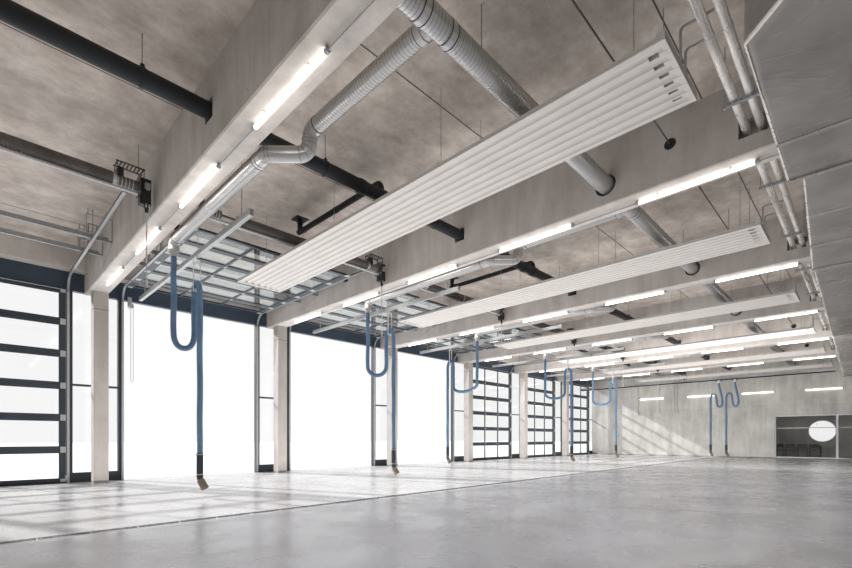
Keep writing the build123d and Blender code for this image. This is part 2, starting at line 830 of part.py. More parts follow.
def make_hoses():
    nozzles = []
    for k, points in enumerate(hose_routes(), start=1):
        radii = corner_radii(points)
        hose = tube(points, hose_d, radii)
        path_length = FilletPolyline(*points, radius=radii).length
        section = math.pi * hose_d**2 / 4
        print(f"hose {k}: length {path_length:.0f}, volume ratio {hose.volume / section / path_length:.4f}")
        print("  radii", [round(r) for r in radii])
        save(f"exhaust_hose_{k}", [hose])
        x, y, z = points[-1]
        cuff = Pos(x, y, z - cuff_h / 2) * Cylinder(cuff_d / 2, cuff_h)
        tip = Pos(x, y, z - cuff_h) * Rot(nozzle_tilt, 0, 0) * Pos(0, 0, -nozzle_length / 2 + 20)
        nozzles.append(cuff + tip * Cylinder(nozzle_d / 2, nozzle_length))
    save("hose_nozzles", nozzles)


def make_rails():
    rails = []
    hangers = []
    saddles = []
    for n in range(1, bay_count - 1):
        x = line_x(n) - rail_x
        y = (back(rail_start), back(rail_start + rail_length))
        z_top = up(rail_z) + rail_h
        rails.append(block(centred(x, rail_w), y, (up(rail_z), z_top)))
        for place in rail_hook:
            hangers.append(rod((x, back(place), z_top), (x, back(place), up(ceiling)), hanger_d))
        beam_side = line_x(n) + beam_offset - beam_w / 2
        front = y[0] + rail_arm_y
        arm_z = up(rail_arm_z)
        arm = [(x, front, z_top), (x, front, arm_z), (beam_side, front, arm_z)]
        hangers.append(tube(arm, 2 * hanger_d, [3 * hanger_d]))
        saddles.append(saddle(x, back(hose_saddle_y[n - 1]), up(rail_z)))
    x = line_x(bay_count - 1) - cross_rail_x
    y = (back(cross_rail_start), back(cross_rail_start + cross_rail_length))
    z_top = up(cross_rail_z) + cross_rail_h
    rails.append(block(centred(x, cross_rail_w), y, (up(cross_rail_z), z_top)))
    for k in range(cross_rail_hooks):
        place = y[0] + 500 + k * (cross_rail_length - 1000) / (cross_rail_hooks - 1)
        hangers.append(rod((x, place, z_top), (x, place, up(ceiling)), 2 * hanger_d))
    trolleys = []
    for distance in cross_hose_y:
        top = up(cross_rail_z)
        trolley = Pos(x, back(distance), top - trolley_h / 2) * Cone(hose_d / 2 + 6, 90, trolley_h)
        trolleys.append(trolley)
    save("hose_rails", rails)
    save("hose_saddles", saddles + trolleys)
    return hangers


def saddle(x, y, top):
    # Two flat straps beside the hose, and the bar that the hose bends over
    low = up(saddle_z) - 130
    reach = hose_d / 2 + 6
    bar = rod((x - reach - 6, y, low), (x + reach + 6, y, low), 60)
    for side in (-1, 1):
        bar += block(centred(x + side * (reach + 2), 4), centred(y, 40), (low, top - 60))
    bar += block((x - reach - 4, x + reach + 4), centred(y, 40), (top - 64, top - 60))
    bar += block(centred(x, 20), centred(y, 20), (top - 62, top))
    return bar


def make_furniture():
    x = x_far - partition_t - table_x
    y = back(table_y)
    wide, long, high = table_size
    table = block(centred(x, wide), centred(y, long), (floor_t + high - 30, floor_t + high))
    for sx in (-1, 1):
        for sy in (-1, 1):
            leg = (x + sx * (wide / 2 - 40), y + sy * (long / 2 - 40))
            table += block(centred(leg[0], 50), centred(leg[1], 50), (floor_t, floor_t + high - 20))
    chairs = []
    for k in range(chair_count):
        cy = y + (k - (chair_count - 1) / 2) * long / chair_count
        cx = x + wide / 2 + chair_size[0] / 2 + 40
        chairs.append(chair(cx, cy))
    save("room_furniture", [table] + chairs)


def chair(x, y):
    wide, deep, high = chair_size
    seat_z = floor_t + 440
    body = block(centred(x, deep), centred(y, wide), (seat_z, seat_z + 25))
    back_x = x + deep / 2 - 15
    body += block(centred(back_x, 24), centred(y, wide), (seat_z + 180, floor_t + high))
    for sx in (-1, 1):
        for sy in (-1, 1):
            high_leg = floor_t + high - 40 if sx > 0 else seat_z + 10
            leg = (x + sx * (deep / 2 - 15), y + sy * (wide / 2 - 15))
            body += block(centred(leg[0], 22), centred(leg[1], 22), (floor_t, high_leg))
    return body


def make_window():
    y = (back(window_right) - window_w, back(window_right))
    z = (up(window_sill), up(window_h))
    x = centred(x_far - partition_t / 2, 2 * window_frame)
    frame = block(x, y, z)
    half = (window_w - 2 * window_frame - window_mullion) / 2
    panes = []
    for k in range(2):
        y0 = y[0] + window_frame + k * (half + window_mullion)
        clear = ((y0, y0 + half), (z[0] + window_frame, z[1] - window_frame))
        frame -= block((x[0] - 1, x[1] + 1), *clear)
        panes.append(block(centred(x_far - partition_t / 2, window_glass_t), *clear))
    save("far_window_frame", [frame])
    save("far_window_glass", panes)
    place = Pos((x_end - length / 2) / 2, back(porthole_y), up(porthole_z)) * Rot(0, 90, 0)
    ring = Cylinder(porthole_d / 2, 120) - Cylinder(porthole_d / 2 - porthole_frame, 121)
    save("round_window_frame", [place * ring])
    save("round_window_glass", [place * Cylinder(porthole_d / 2 - porthole_frame, window_glass_t)])


make_floor()
make_walls()
make_columns()
make_beams()
make_roof()
make_facade()
make_doors()
hangers = make_tracks()
hangers += make_springs()
hangers += make_panels()
hangers += make_services()
hangers += make_air_duct()
make_lights()
make_extraction()
make_hoses()
hangers += make_rails()
save("ceiling_hangers", hangers)
make_window()
make_furniture()
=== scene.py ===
# Vehicle hall of a fire station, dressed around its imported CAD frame
import bmesh
import bpy
import math
from mathutils import Matrix, Vector, noise


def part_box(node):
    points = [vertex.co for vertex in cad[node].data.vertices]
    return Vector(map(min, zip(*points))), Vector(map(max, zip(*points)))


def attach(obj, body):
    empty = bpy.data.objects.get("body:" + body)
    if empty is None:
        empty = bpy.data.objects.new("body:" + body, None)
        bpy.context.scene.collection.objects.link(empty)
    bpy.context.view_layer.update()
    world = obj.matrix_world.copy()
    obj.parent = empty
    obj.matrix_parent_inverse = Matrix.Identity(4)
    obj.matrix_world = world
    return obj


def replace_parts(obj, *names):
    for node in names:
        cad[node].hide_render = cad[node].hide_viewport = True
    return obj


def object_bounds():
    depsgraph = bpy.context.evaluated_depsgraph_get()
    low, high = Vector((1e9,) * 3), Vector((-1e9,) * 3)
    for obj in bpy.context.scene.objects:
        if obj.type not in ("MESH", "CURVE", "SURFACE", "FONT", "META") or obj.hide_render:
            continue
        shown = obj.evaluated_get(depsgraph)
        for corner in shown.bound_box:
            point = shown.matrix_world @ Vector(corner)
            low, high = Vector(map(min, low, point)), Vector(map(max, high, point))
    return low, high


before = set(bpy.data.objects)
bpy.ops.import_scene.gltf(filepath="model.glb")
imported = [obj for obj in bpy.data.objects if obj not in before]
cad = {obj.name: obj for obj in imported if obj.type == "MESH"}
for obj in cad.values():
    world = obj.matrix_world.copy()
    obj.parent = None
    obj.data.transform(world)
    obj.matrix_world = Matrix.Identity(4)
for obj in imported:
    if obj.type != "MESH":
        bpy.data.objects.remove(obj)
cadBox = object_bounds()

# Places in metres: +X along the hall, doors face -Y, Z up from the ground
hall = {
    "bay": 5.0, "bays": 7, "nearX": 19.125, "faceY": -8.6, "rearY": 8.45, "floorZ": 0.06,
    "soffit": 4.877, "ceiling": 5.877, "beamShift": 0.035, "beamWidth": 0.432,
}
allBays, beamLines = range(hall["bays"]), range(1, hall["bays"])


def lineX(n):
    return hall["nearX"] - n * hall["bay"]


def behind(distance):
    return hall["faceY"] + distance


def level(height):
    return hall["floorZ"] + height


def middleX(n):
    return lineX(n) - hall["bay"] / 2


ceilingZ = level(hall["ceiling"])


def linear(hexColour):
    parts = [int(hexColour[i:i + 2], 16) / 255 for i in (1, 3, 5)]
    return [p / 12.92 if p <= 0.04045 else ((p + 0.055) / 1.055) ** 2.4 for p in parts] + [1]


def plug(node, key, value):
    # A socket gets a value, or a link from another socket or from a node's first output
    if isinstance(value, bpy.types.Node):
        value = value.outputs[0]
    if isinstance(value, bpy.types.NodeSocket):
        node.id_data.links.new(value, node.inputs[key])
    else:
        node.inputs[key].default_value = value


def setRamp(node, stops):
    ramp = node.color_ramp
    while len(ramp.elements) < len(stops):
        ramp.elements.new(0.5)
    for element, (position, colour) in zip(ramp.elements, stops):
        element.position = position
        element.color = linear(colour) if isinstance(colour, str) else [colour] * 3 + [1]


def addNode(tree, kind, settings):
    # Lower-case keys are the node's own settings, stops a ramp's colours, and the other keys sockets
    node = tree.nodes.new("ShaderNode" + kind)
    for key, value in settings.items():
        if key == "stops":
            setRamp(node, value)
        elif isinstance(key, str) and key[0].islower():
            setattr(node, key, value)
        else:
            plug(node, key, value)
    return node


def newMaterial(name, settings):
    material = bpy.data.materials.new(name)
    material.use_nodes = True
    tree = material.node_tree
    shader = tree.nodes["Principled BSDF"]
    for key, value in settings.items():
        plug(shader, key, value)
    return material, tree, shader, addNode(tree, "TexCoord", {}).outputs["Object"]


# In-situ and precast concrete, smooth formwork: cloudy, faint streaks, air holes dented and darkened with painted shade
def castConcrete(name, look):
    material, tree, shader, place = newMaterial(name, {"Roughness": look["roughness"], "IOR": 1.5})
    cloud = addNode(tree, "TexNoise", {"Scale": 1 / look["cloud"], "Detail": 10, "Roughness": look["grit"], "Vector": place})
    stretch = addNode(tree, "Mapping", {"Scale": look["streak"], "Vector": place})
    streak = addNode(tree, "TexNoise", {"Scale": 1.0, "Detail": 5, "Roughness": 0.65, "Vector": stretch})
    both = addNode(tree, "MixRGB", {"Fac": look["streakShare"], "Color1": cloud, "Color2": streak})
    dark, mid, light = look["tones"]
    colour = addNode(tree, "ValToRGB", {"stops": [(0.3, dark), (0.5, mid), (0.7, light)], "Fac": both})
    if "cells" in look:  # each plank or formwork panel has its own tone
        grid = addNode(tree, "Mapping", {"Scale": look["cells"], "Location": look["cellShift"], "Vector": place})
        axes = addNode(tree, "SeparateXYZ", {"Vector": grid})
        counts = [addNode(tree, "Math", {"operation": "FLOOR", 0: axes.outputs[axis]}) for axis in look["cellAxes"]]
        cell = addNode(tree, "CombineXYZ", {"X": counts[0], "Y": counts[1]})
        chance = addNode(tree, "TexWhiteNoise", {"noise_dimensions": "3D", "Vector": cell})
        shade = addNode(tree, "ValToRGB", {"stops": [(0, look["cellTone"]), (1, 1.0)], "Fac": chance.outputs["Value"]})
        colour = addNode(tree, "MixRGB", {"blend_type": "MULTIPLY", "Fac": 0.9, "Color1": colour, "Color2": shade})
        for axis in look["joints"]:  # fine dark lines between the panels
            part = addNode(tree, "Math", {"operation": "FRACT", 0: axes.outputs[axis]})
            line = addNode(tree, "ValToRGB", {"stops": [(0.0, 0.72), (0.006, 0.82), (0.012, 1.0)], "Fac": part})
            colour = addNode(tree, "MixRGB", {"blend_type": "MULTIPLY", "Fac": 0.6, "Color1": colour, "Color2": line})
    pores = addNode(tree, "TexVoronoi", {"Scale": 1 / look["poreGap"], "Randomness": 1.0, "Vector": place})
    poreShadeAndDents = addNode(tree, "ValToRGB", {"stops": [(0.015, 0.0), (0.045, 1.0)], "Fac": pores})
    # The air holes darken the base colour: painted shade in the holes
    plug(shader, "Base Color", addNode(tree, "MixRGB", {"blend_type": "MULTIPLY", "Fac": look["poreShadeAndDents"], "Color1": colour, "Color2": poreShadeAndDents}))
    grain = addNode(tree, "TexNoise", {"Scale": 1 / 0.02, "Detail": 4, "Vector": place})
    height = addNode(tree, "MixRGB", {"blend_type": "MULTIPLY", "Fac": 1.0, "Color1": grain, "Color2": poreShadeAndDents})
    plug(shader, "Normal", addNode(tree, "Bump", {"Strength": look["bump"], "Distance": 0.004, "Height": height}))
    return material


plankPitch, plankFirst = 2.705, -6.46
concreteLook = {"roughness": 0.8, "cloud": 1.6, "grit": 0.72, "streak": (3, 3, 0.6), "streakShare": 0.45,
                "poreGap": 0.42, "poreShadeAndDents": 0.35, "bump": 0.4}
wallConcrete = castConcrete("cast wall concrete", {
    **concreteLook, "tones": ("#86847f", "#a3a19c", "#bdbbb7"),
    "cells": (0.4, 0.4, 0.37), "cellShift": (0.12, 0.31, -0.1285), "cellAxes": "YZ", "joints": "YZ", "cellTone": 0.86})
beamConcrete = castConcrete("precast beam concrete", {**concreteLook, "tones": ("#8d8884", "#a8a29d", "#beb9b4")})
columnConcrete = castConcrete("precast column concrete", {**concreteLook, "tones": ("#8f8984", "#9f9994", "#b0aba6")})
plankConcrete = castConcrete("hollow-core plank concrete", {
    **concreteLook, "cloud": 0.4, "grit": 0.76, "streak": (0.9, 2.2, 2.2), "streakShare": 0.35, "tones": ("#84796f", "#a89f97", "#c8c1ba"),
    "cells": (1 / hall["bay"], 1 / plankPitch, 1), "cellShift": (-hall["nearX"] / hall["bay"], -plankFirst / plankPitch, 0),
    "cellAxes": "YX", "joints": "", "cellTone": 0.86})


# Power-trowelled floor: pale, cloudy, sealed, so it mirrors the bright doorways softly
def trowelledFloor():
    material, tree, shader, place = newMaterial("trowelled floor concrete", {"IOR": 1.5, "Specular IOR Level": 0.45})
    cloud = addNode(tree, "TexNoise", {"Scale": 0.6, "Detail": 8, "Roughness": 0.62, "Distortion": 0.6, "Vector": place})
    plug(shader, "Base Color", addNode(tree, "ValToRGB", {"stops": [(0.3, "#a5a29e"), (0.5, "#b3b1ae"), (0.72, "#c3c2c2")], "Fac": cloud}))
    wear = addNode(tree, "TexNoise", {"Scale": 1.1, "Detail": 7, "Roughness": 0.6, "Vector": place})
    plug(shader, "Roughness", addNode(tree, "MapRange", {"From Min": 0.3, "From Max": 0.7, "To Min": 0.14, "To Max": 0.38, "Value": wear}))
    swirl = addNode(tree, "TexNoise", {"Scale": 9, "Detail": 3, "Vector": place})
    plug(shader, "Normal", addNode(tree, "Bump", {"Strength": 0.2, "Distance": 0.004, "Height": swirl}))
    return material


# Coated or bare metal and plastic: base colour with faint dust, fine surface texture
def coated(name, colours, gloss, grain, bump, metal=0, cloud=0.4):
    material, tree, shader, place = newMaterial(name, {"Metallic": metal, "IOR": 1.5})
    dust = addNode(tree, "TexNoise", {"Scale": 1 / cloud, "Detail": 6, "Roughness": 0.6, "Vector": place})
    plug(shader, "Base Color", addNode(tree, "ValToRGB", {"stops": [(0.35, colours[0]), (0.75, colours[1])], "Fac": dust}))
    plug(shader, "Roughness", addNode(tree, "MapRange", {"To Min": gloss[0], "To Max": gloss[1], "Value": dust}))
    texture = addNode(tree, "TexNoise", {"Scale": 1 / grain, "Detail": 3, "Vector": place})
    plug(shader, "Normal", addNode(tree, "Bump", {"Strength": bump, "Distance": 0.002, "Height": texture}))
    return material


# Hot-dip galvanised sheet: metal with crystal spangle
def galvanised(name, colours, spangle, metal=0.6, gloss=(0.28, 0.38)):
    material, tree, shader, place = newMaterial(name, {"Metallic": metal})
    crystals = addNode(tree, "TexVoronoi", {"Scale": 1 / spangle, "Vector": place})
    facets = addNode(tree, "SeparateXYZ", {"Vector": crystals.outputs["Color"]})
    plug(shader, "Base Color", addNode(tree, "ValToRGB", {"stops": list(enumerate(colours)), "Fac": facets}))
    plug(shader, "Roughness", addNode(tree, "MapRange", {"To Min": gloss[0], "To Max": gloss[1], "Value": facets.outputs["Y"]}))
    return material


# Aluminium foil jacket over insulation: dull metal with folds as sharp ridges and soft dents between them
def creasedFoil(name, colours, metal, fold, stretch, bump, dents):
    material, tree, shader, place = newMaterial(name, {"Metallic": metal})
    cloud = addNode(tree, "TexNoise", {"Scale": 1.5, "Detail": 5, "Vector": place})
    plug(shader, "Base Color", addNode(tree, "ValToRGB", {"stops": [(0.3, colours[0]), (0.7, colours[1])], "Fac": cloud}))
    pulled = addNode(tree, "Mapping", {"Scale": stretch, "Vector": place})
    wave = addNode(tree, "TexNoise", {"Scale": 1 / fold, "Detail": 3, "Distortion": 0.8, "Vector": pulled})
    offset = addNode(tree, "Math", {"operation": "SUBTRACT", 0: wave, 1: 0.5})
    ridge = addNode(tree, "Math", {"operation": "ABSOLUTE", 0: offset})
    sharp = addNode(tree, "ValToRGB", {"stops": [(0.0, 1.0), (0.008, 0.4), (0.03, 0.0)], "Fac": ridge})
    dent = addNode(tree, "TexNoise", {"Scale": 0.5 / fold, "Detail": 2, "Vector": pulled})
    both = addNode(tree, "MixRGB", {"Fac": dents, "Color1": sharp, "Color2": dent})
    plug(shader, "Normal", addNode(tree, "Bump", {"Strength": bump, "Distance": fold * 0.25, "Height": both}))
    plug(shader, "Roughness", addNode(tree, "MapRange", {"From Min": 0.3, "From Max": 0.7, "To Min": 0.22, "To Max": 0.4, "Value": dent}))
    return material


# Clear insulating glass: see-through head on, a mirror of the pale outside at flat angles
def clearGlass():
    material, tree, shader, place = newMaterial("clear glazing", {"Roughness": 0.02, "Metallic": 1.0, "Base Color": linear("#dde4e4")})
    facing = addNode(tree, "LayerWeight", {"Blend": 0.5}).outputs["Facing"]
    steep = addNode(tree, "Math", {"operation": "POWER", 0: facing, 1: 4.0})
    plug(shader, "Alpha", addNode(tree, "MapRange", {"To Min": 0.05, "To Max": 0.75, "Value": steep}))
    return material


floorMaterial = trowelledFloor()
darkFrame = coated("anthracite powder coat", ("#2b3137", "#353c44"), (0.35, 0.5), 0.004, 0.1)
blueHeader = coated("dark blue powder coat", ("#2a3440", "#333e4b"), (0.35, 0.5), 0.004, 0.1)
panelWhite = coated("white enamelled sheet", ("#b5b1ad", "#ada9a5"), (0.4, 0.55), 0.01, 0.05)
blackPipe = coated("black drain pipe", ("#15171b", "#1e2126"), (0.45, 0.65), 0.01, 0.1)
railAluminium = coated("anodised aluminium", ("#c3c5c6", "#b4b6b7"), (0.3, 0.42), 0.006, 0.05, 1.0)
hoseBlue = coated("blue coated hose fabric", ("#425b72", "#587189"), (0.5, 0.7), 0.006, 0.4)
sleeveDark = coated("dark hose sleeve", ("#20262d", "#2c333b"), (0.6, 0.8), 0.006, 0.4)
nozzleRubber = coated("brown nozzle rubber", ("#5d5145", "#74675a"), (0.6, 0.8), 0.004, 0.3)
valveBrass = coated("nickelled brass", ("#a08c63", "#b3a58a"), (0.25, 0.4), 0.004, 0.05, 1.0)
springSteel = coated("oiled spring steel", ("#605d5a", "#7b7774"), (0.4, 0.6), 0.004, 0.2, 0.7)
machineBlack = coated("black operator housing", ("#17191b", "#232629"), (0.4, 0.6), 0.004, 0.2)
lampGrey = coated("grey lamp cap", ("#8d8f90", "#9a9c9d"), (0.4, 0.6), 0.004, 0.1)
frameMetal = coated("light grey window frame", ("#b9bcbe", "#aeb1b3"), (0.4, 0.5), 0.006, 0.05, 0.3)
copingMetal = coated("coping sheet", ("#a9acae", "#9b9ea0"), (0.35, 0.5), 0.01, 0.05, 0.9)
darkWood = coated("dark stained furniture", ("#231f1c", "#2f2a26"), (0.45, 0.6), 0.01, 0.2)
roofGravel = coated("roof gravel", ("#8a8780", "#a5a29a"), (0.8, 0.95), 0.03, 1.0, 0, 0.05)
plugMortar = coated("tie hole mortar", ("#77736e", "#86827d"), (0.8, 0.9), 0.004, 0.4, 0, 0.2)
darkJoint = coated("open joint with dark filler", ("#3a352f", "#57504a"), (0.8, 0.9), 0.01, 0.3, 0, 0.6)
zincPart = galvanised("galvanised strip", ("#b4b6b7", "#cacbcc"), 0.02)
ductZinc = galvanised("galvanised spiral duct", ("#cccbca", "#d1d0cf"), 0.012, 0.85, (0.3, 0.33))
# Darker than the duct sheet: painted shade along the seams
seamZincShade = galvanised("rolled lock seam, darkened as painted shade", ("#a0a09f", "#a8a8a7"), 0.012, 0.75, (0.3, 0.36))
# A darker copy of the galvanised strip: painted shade on the tracks, hangers and frames under the ceiling
shadedZinc = galvanised("galvanised strip darkened as painted shade", ("#85888a", "#9da0a2"), 0.02, 0.5)
ductFoil = creasedFoil("creased duct foil", ("#8e8a86", "#aaa6a2"), 0.7, 0.5, (0.7, 0.5, 1), 0.12, 0.72)
foilTape = creasedFoil("foil tape", ("#a5a19d", "#bcb8b4"), 0.7, 0.06, (1, 1, 1), 0.3, 0.7)
# Near-white corner tape: partly its own colour, partly painted highlight along the duct's lower edges
cornerTapeHighlight = creasedFoil("crumpled corner tape, partly painted highlight", ("#d8d1ca", "#f3ece5"), 0.35, 0.03, (1, 1, 1), 0.8, 0.7)
pipeFoil = creasedFoil("creased pipe foil", ("#d2cec9", "#fbf8f5"), 0.6, 0.03, (0.12, 1, 1), 1.0, 0.65)
glassMaterial = clearGlass()
lampMaterial = newMaterial("opal lamp tube", {  # glows evenly
    "Base Color": linear("#fdfbf5"), "Roughness": 0.4, "Emission Color": linear("#fffdf6"), "Emission Strength": 5.0})[0]

doorNodes, hoseNodes = ([f"{kind}_{n}" for n in range(1, 8)] for kind in ("door", "exhaust_hose"))
finishes = (
    (floorMaterial, ["floor_slab"]),
    (wallConcrete, ["near_end_wall", "far_end_wall", "rear_wall", "far_wall", "end_room_front_wall", "front_fascia"]),
    (columnConcrete, ["front_columns"]), (beamConcrete, ["roof_beams", "front_edge_beam"]), (plankConcrete, ["roof_planks"]),
    (roofGravel, ["roof_covering"]), (copingMetal, ["parapet_coping"]), (darkFrame, ["facade_posts", "strip_bars", *doorNodes]),
    (blueHeader, ["door_header"]), (zincPart, ["drain_channel", "door_guides", "panel_pipes", "hose_saddles"]),
    (glassMaterial, ["strip_glass", "door_glass_shut", "door_glass_open", "far_window_glass", "round_window_glass"]),
    (shadedZinc, ["ceiling_tracks", "ceiling_hangers"]), (panelWhite, ["radiant_panels"]), (lampMaterial, ["light_tubes"]),
    (lampGrey, ["light_fittings"]), (springSteel, ["door_springs"]), (machineBlack, ["door_operators"]),
    (ductZinc, ["extract_duct", "extract_branches"]), (blackPipe, ["drain_pipes"]), (pipeFoil, ["foil_pipes"]),
    (ductFoil, ["air_duct"]), (railAluminium, ["hose_rails"]), (nozzleRubber, ["hose_nozzles"]), (hoseBlue, hoseNodes),
    (frameMetal, ["far_window_frame", "round_window_frame"]), (darkWood, ["room_furniture"]),
)
for material, names in finishes:
    for name in names:
        cad[name].data.materials.clear()
        cad[name].data.materials.append(material)
print("materials on", sum(len(names) for material, names in finishes), "nodes")


def newObject(name, data):
    thing = bpy.data.objects.new(name, data)
    bpy.context.scene.collection.objects.link(thing)
    return thing


def newPiece(name, bm, material, smooth=False):
    mesh = bpy.data.meshes.new(name)
    bm.to_mesh(mesh)
    bm.free()
    mesh.materials.append(material)
    for polygon in mesh.polygons:
        polygon.use_smooth = smooth
    piece = newObject(name, mesh)
    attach(piece, "root")
    return piece


scratch = bpy.data.meshes.new("scratch")


def merge(bm, small):
    # Each form is made in a small bmesh of its own, which keeps the operators quick
    small.to_mesh(scratch)
    small.free()
    bm.from_mesh(scratch)


def addBox(bm, low, high, bevel=0, segments=1):
    small = bmesh.new()
    size = [high[k] - low[k] for k in range(3)]
    middle = [(high[k] + low[k]) / 2 for k in range(3)]
    bmesh.ops.create_cube(small, size=1, matrix=Matrix.Translation(middle) @ Matrix.Diagonal((*size, 1)))
    if bevel:
        bmesh.ops.bevel(small, geom=small.edges[:], offset=bevel, segments=segments, affect="EDGES", profile=0.5, material=-1)
    merge(bm, small)


def addBlock(bm, middle, reach, bevel=0, segments=1):
    # A box round a place: on each axis it reaches as far both ways, or from and to
    spans = [span if isinstance(span, tuple) else (-span, span) for span in reach]
    addBox(bm, *([at + span[k] for at, span in zip(middle, spans)] for k in (0, 1)), bevel, segments)


def alongAxis(start, end):
    start, end = Vector(start), Vector(end)
    turn = (end - start).to_track_quat("Z", "Y").to_matrix().to_4x4()
    return Matrix.Translation((start + end) / 2) @ turn, (end - start).length


def addRod(bm, start, end, radius, sides=12, endRadius=None):
    place, long = alongAxis(start, end)
    small = bmesh.new()
    endRadius = radius if endRadius is None else endRadius
    bmesh.ops.create_cone(small, cap_ends=True, segments=sides, radius1=radius, radius2=endRadius, depth=long, matrix=place)
    merge(bm, small)


def addPin(bm, middle, axis, reach, radius, sides=12, endRadius=None):
    # A rod along one axis: it reaches as far both ways, or from and to
    ahead = Vector([letter == axis for letter in "xyz"])
    start, end = (Vector(middle) + ahead * span for span in (reach if isinstance(reach, tuple) else (-reach, reach)))
    addRod(bm, start, end, radius, sides, endRadius)


def addBand(bm, middle, axis, radius, width, bevel=0.004, sides=24):
    # A band round a pipe, its edges rounded
    ahead = Vector([letter == axis for letter in "xyz"]) if isinstance(axis, str) else axis.normalized()
    place, long = alongAxis(Vector(middle) - ahead * width / 2, Vector(middle) + ahead * width / 2)
    small = bmesh.new()
    bmesh.ops.create_cone(small, cap_ends=True, segments=sides, radius1=radius, radius2=radius, depth=long, matrix=place)
    rims = [edge for edge in small.edges if abs((edge.verts[0].co - edge.verts[1].co).dot(ahead)) < 1e-5]
    bmesh.ops.bevel(small, geom=rims, offset=bevel, segments=1, affect="EDGES", profile=0.5, material=-1)
    merge(bm, small)


def addSeam(bm, start, end, radius, pitch, height, width, steps):
    # The raised lock seam of spiral duct, or the coils of a spring: a small ridge spun along the axis, ten turns at a time
    start, end = Vector(start), Vector(end)
    axis = (end - start).normalized()
    side = axis.orthogonal().normalized()
    turns = int((end - start).length / pitch)
    for done in range(0, turns, 10):
        some = min(10, turns - done)
        foot = start + axis * pitch * done
        base = foot + side * (radius - 0.001)
        small = bmesh.new()
        corners = [small.verts.new(spot) for spot in (base - axis * width / 2, base + side * (height + 0.001), base + axis * width / 2)]
        edges = [small.edges.new(pair) for pair in zip(corners, corners[1:])]
        bmesh.ops.spin(small, geom=corners + edges, cent=foot, axis=axis, dvec=axis * pitch / steps, angle=2 * math.pi * some,
                       steps=some * steps, use_merge=False)
        merge(bm, small)


# Exhaust hoses: coated fabric over a wire helix
spigots = (5.15, 4.75, 4.65, 4.5, 4.4)
hose = {
    "radius": 0.055, "ridge": 0.0065, "pitch": 0.034, "sides": 16, "top": 4.6, "low": 0.4, "sag": 2.87, "saddle": 4.11, "reach": 0.15,
    "saddles": (5.4, 5.29, 3.1, 5.4, 5.3), "lengths": (7.006, 7.133, 7.986, 7.398, 7.398, 5.51, 5.51),
}
branchX = 0.345


def bayRoute(n):
    x0, x1 = lineX(n) - branchX, lineX(n) - 0.68
    y0, y1 = behind(spigots[n - 1]), behind(hose["saddles"][n - 1])
    turn = 1 if y1 > y0 - 0.6 else -1
    near, far = y1 - hose["reach"] * turn, y1 + hose["reach"] * turn
    sag, top = level(hose["sag"]), level(hose["saddle"])
    return [
        (x0, y0, level(hose["top"])), (x0 - 0.003, y0 + 0.002, level(4.43)), (x0 + 0.007, y0 - 0.004, level(4.2)),
        (x0 - 0.008, y0 + 0.006, level(3.86)), (x0 + 0.006, y0 + 0.002, level(3.48)), (x0 + 0.004, y0 - 0.006, level(3.19)),
        (x0 - 0.008, y0 + 0.004, sag + 0.13), (x0 - 0.092, y0 + (near - y0) * 0.3, sag), (x1 + 0.092, y0 + (near - y0) * 0.7, sag),
        (x1 + 0.008, near - 0.004, sag + 0.13), (x1 - 0.004, near + 0.004, level(3.23)), (x1 + 0.003, near - 0.005, level(3.52)),
        (x1 - 0.002, near, level(3.76)), (x1, near + 0.004 * turn, top - 0.16), (x1, near + 0.078 * turn, top),
        (x1, far - 0.078 * turn, top), (x1, far - 0.004 * turn, top - 0.16), (x1 + 0.002, far, level(3.72)),
        (x1 - 0.005, far + 0.004, level(3.33)), (x1 + 0.006, far - 0.005, level(2.78)), (x1 - 0.006, far + 0.005, level(2.12)),
        (x1 + 0.005, far - 0.004, level(1.5)), (x1 - 0.003, far + 0.003, level(0.96)), (x1 + 0.001, far, level(0.64)),
        (x1, far, level(hose["low"])),
    ]


def crossRoute(y):
    x, top = lineX(6) - 1.73, level(4.19)
    steps = (
        (0, 0, 0), (0.002, 0.006, -0.15), (-0.003, 0.052, -0.38), (0.002, 0.122, -0.7), (0.006, 0.168, -0.98), (0.008, 0.15, -1.21),
        (0.004, 0.05, -1.35), (-0.004, -0.07, -1.26), (-0.008, -0.118, -1.01), (-0.002, -0.128, -0.79), (0, -0.19, -0.59), (0, -0.33, -0.59),
        (0.002, -0.402, -0.77), (-0.002, -0.398, -1.06), (0.005, -0.406, -1.52), (-0.005, -0.396, -2.08), (0.004, -0.404, -2.64),
        (-0.003, -0.398, -3.12), (0, -0.4, -3.44),
    )
    return [(x + dx, y + dy, top + dz) for dx, dy, dz in steps] + [(x, y - 0.4, level(hose["low"]))]


def routeLine(name, points):
    curve = bpy.data.curves.new(name, "CURVE")
    curve.dimensions = "3D"
    curve.resolution_u = 24
    spline = curve.splines.new("NURBS")
    spline.points.add(len(points) - 1)
    for point, place in zip(spline.points, points):
        point.co = (*place, 1)
    spline.order_u = 3
    spline.use_endpoint_u = True
    holder = bpy.data.objects.new(name, curve)
    mesh = bpy.data.meshes.new_from_object(holder)
    line = [v.co.copy() for v in mesh.vertices]
    bpy.data.objects.remove(holder)
    bpy.data.meshes.remove(mesh)
    return line


def walk(line, step):
    # Evenly spaced places along a line, each with its direction
    stops, gone, due = [], 0.0, 0.0
    for a, b in zip(line, line[1:]):
        run = (b - a).length
        while due <= gone + run:
            stops.append((a.lerp(b, (due - gone) / run), (b - a).normalized()))
            due += step
        gone += run
    stops.append((line[-1].copy(), (line[-1] - line[-2]).normalized()))
    return stops, gone


def closeUp(small, sides):
    bmesh.ops.remove_doubles(small, verts=small.verts[:], dist=1e-5)
    bmesh.ops.holes_fill(small, edges=[edge for edge in small.edges if edge.is_boundary], sides=sides)
    bmesh.ops.recalc_face_normals(small, faces=small.faces[:])


